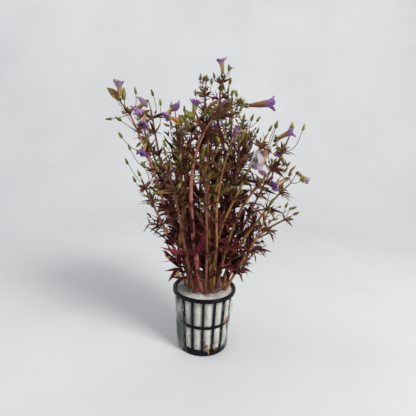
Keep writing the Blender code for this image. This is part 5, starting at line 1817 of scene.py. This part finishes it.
flowerValues = {
    "footRadius": 0.95,
    "throatRadius": (1.6, 2.35),  # of a short and of a long flower
    "tubeShare": 0.55,  # part of the sheet's rows that make the tube
    "limbStart": 0.70,  # height of the throat as a share of the length
    "thickness": 0.14,
    "ruffle": 0.5,
    "crumple": 0.75,
    "lobes": 5,
    "around": 50,
    "upward": 30,
}
shapes["sheet"] = tubeShape("sheetShape", flowerValues["around"], flowerValues["upward"], False)


def makeFlower(name, foot, target, length, mouth, brown, depth):
    values = flowerValues
    chance = random.Random("look of " + name)
    facing = (Vector(target) - Vector(foot)).normalized()
    roll = random.Random(name).uniform(0, tau)
    place = Matrix.Translation(Vector(foot) * mm) @ facing.to_track_quat("Z", "Y").to_matrix().to_4x4()
    place = place @ Matrix.Rotation(roll, 4, "Z")
    skyward = place.to_3x3().inverted() @ Vector((0, 0, 1))
    upper = math.atan2(skyward.y, skyward.x) if abs(facing.z) < 0.98 else 0.0
    phase = chance.uniform(0.0, tau)
    seed = Vector((chance.uniform(0, 50), chance.uniform(0, 50), chance.uniform(0, 50)))
    bow = chance.uniform(0.02, 0.05) * length
    throat = blend(*values["throatRadius"], (length - 8.0) / 9.0)
    bm = newMesh()

    def rule(co, inward):
        angle = math.atan2(co.y, co.x)
        fromTop = (angle - upper + math.pi) % tau - math.pi
        lobe = abs(math.cos(values["lobes"] / 2.0 * fromTop))
        if co.z < values["tubeShare"]:
            rise = co.z / values["tubeShare"]
            radius = blend(values["footRadius"], throat, max(0.0, rise - 0.05) ** 0.7)
            radius *= 1.0 + 0.07 * math.cos(5.0 * angle + phase)
            height = values["limbStart"] * length * rise
        else:
            spread = (co.z - values["tubeShare"]) / (1.0 - values["tubeShare"])
            reach = mouth * (0.66 + 0.24 * lobe**0.5) * (0.85 if abs(fromTop) < 1.2 else 1.1)
            radius = blend(throat, max(reach, throat + 0.3), spread**1.5)
            radius += values["ruffle"] * spread * math.sin(9.0 * angle + phase) * 0.5
            height = blend(values["limbStart"], 0.92, 1.0 - (1.0 - spread) ** 1.4) * length
            height += spread * (values["ruffle"] * math.sin(13.0 * angle + phase) + (1.5 * lobe**0.6 - 0.5))
        swell = noise.noise_vector(Vector((math.cos(angle) * 1.3, math.sin(angle) * 1.3, co.z * 3.0)) + seed)
        fine = noise.noise_vector(Vector((math.cos(angle) * 3.2, math.sin(angle) * 3.2, co.z * 7.0)) + seed)
        crumple = swell * values["crumple"] * (0.25 + co.z) + fine * 0.35 * co.z * co.z
        lean = max(0.0, co.z - values["tubeShare"]) * 2.2
        radius -= inward * math.cos(lean)
        height += inward * math.sin(lean)
        return place @ ((Vector((radius * math.cos(angle), radius * math.sin(angle) + bow * math.sin(math.pi * co.z),
                                 height)) + crumple) * mm)

    def brownAt(co):
        # the underside of a tube is browner
        under = 0.5 - 0.5 * math.cos(math.atan2(co.y, co.x) - upper)
        return clamp(brown * (0.2 + 1.3 * under) + 0.5 * max(0.0, 0.14 - co.z) / 0.14)

    addCopy(bm, "sheet", lambda co: rule(co, 0.0), brownAt, chance, 0, lambda co: depth)
    addCopy(bm, "sheet", lambda co: rule(co, values["thickness"]), brownAt, chance, 0, lambda co: depth)
    bm.verts.ensure_lookup_table()
    bmesh.ops.reverse_faces(bm, faces=bm.faces[len(bm.faces) // 2:])
    edges = [edge for edge in bm.edges if edge.is_boundary]
    look = bm.verts.layers.float_color["look"]
    for low in (True, False):
        bmesh.ops.bridge_loops(bm, edges=[edge for edge in edges if (edge.verts[0][look][1] < 0.5) == low])
    # stamens and style inside the throat
    for index in range(4):
        angle = tau * index / 4.0 + phase
        out = Vector((math.cos(angle), math.sin(angle), 0.0))
        low = place @ (Vector((0.0, 0.0, length * 0.25)) * mm + out * 0.5 * mm)
        high = place @ (Vector((0.0, 0.0, length * chance.uniform(0.74, 0.84))) * mm + out * 0.85 * mm)
        middle = blend(low, high, 0.5) + (place.to_3x3() @ out) * 0.15 * mm
        growTube(bm, "stalk", [low, middle, high], facing.orthogonal(), lambda share: 0.10 * mm, 0.2, chance, 1)
        growPod(bm, "bud", high - facing * 0.25 * mm, high + facing * 0.45 * mm, 0.5 * mm, 0.0, chance, 1)
    newPiece(name + "_corolla", bm, [petalSkin, witheredSkin], name, "petal", 60.0)


petalSkin, witheredSkin = plantMaterials[petalSlot], plantMaterials[witheredSlot]
for name, (carrier, foot, target, length, mouth, brown, depth) in flowers.items():
    makeFlower(name, foot, target, length, mouth, brown, depth)
print("flowers made")
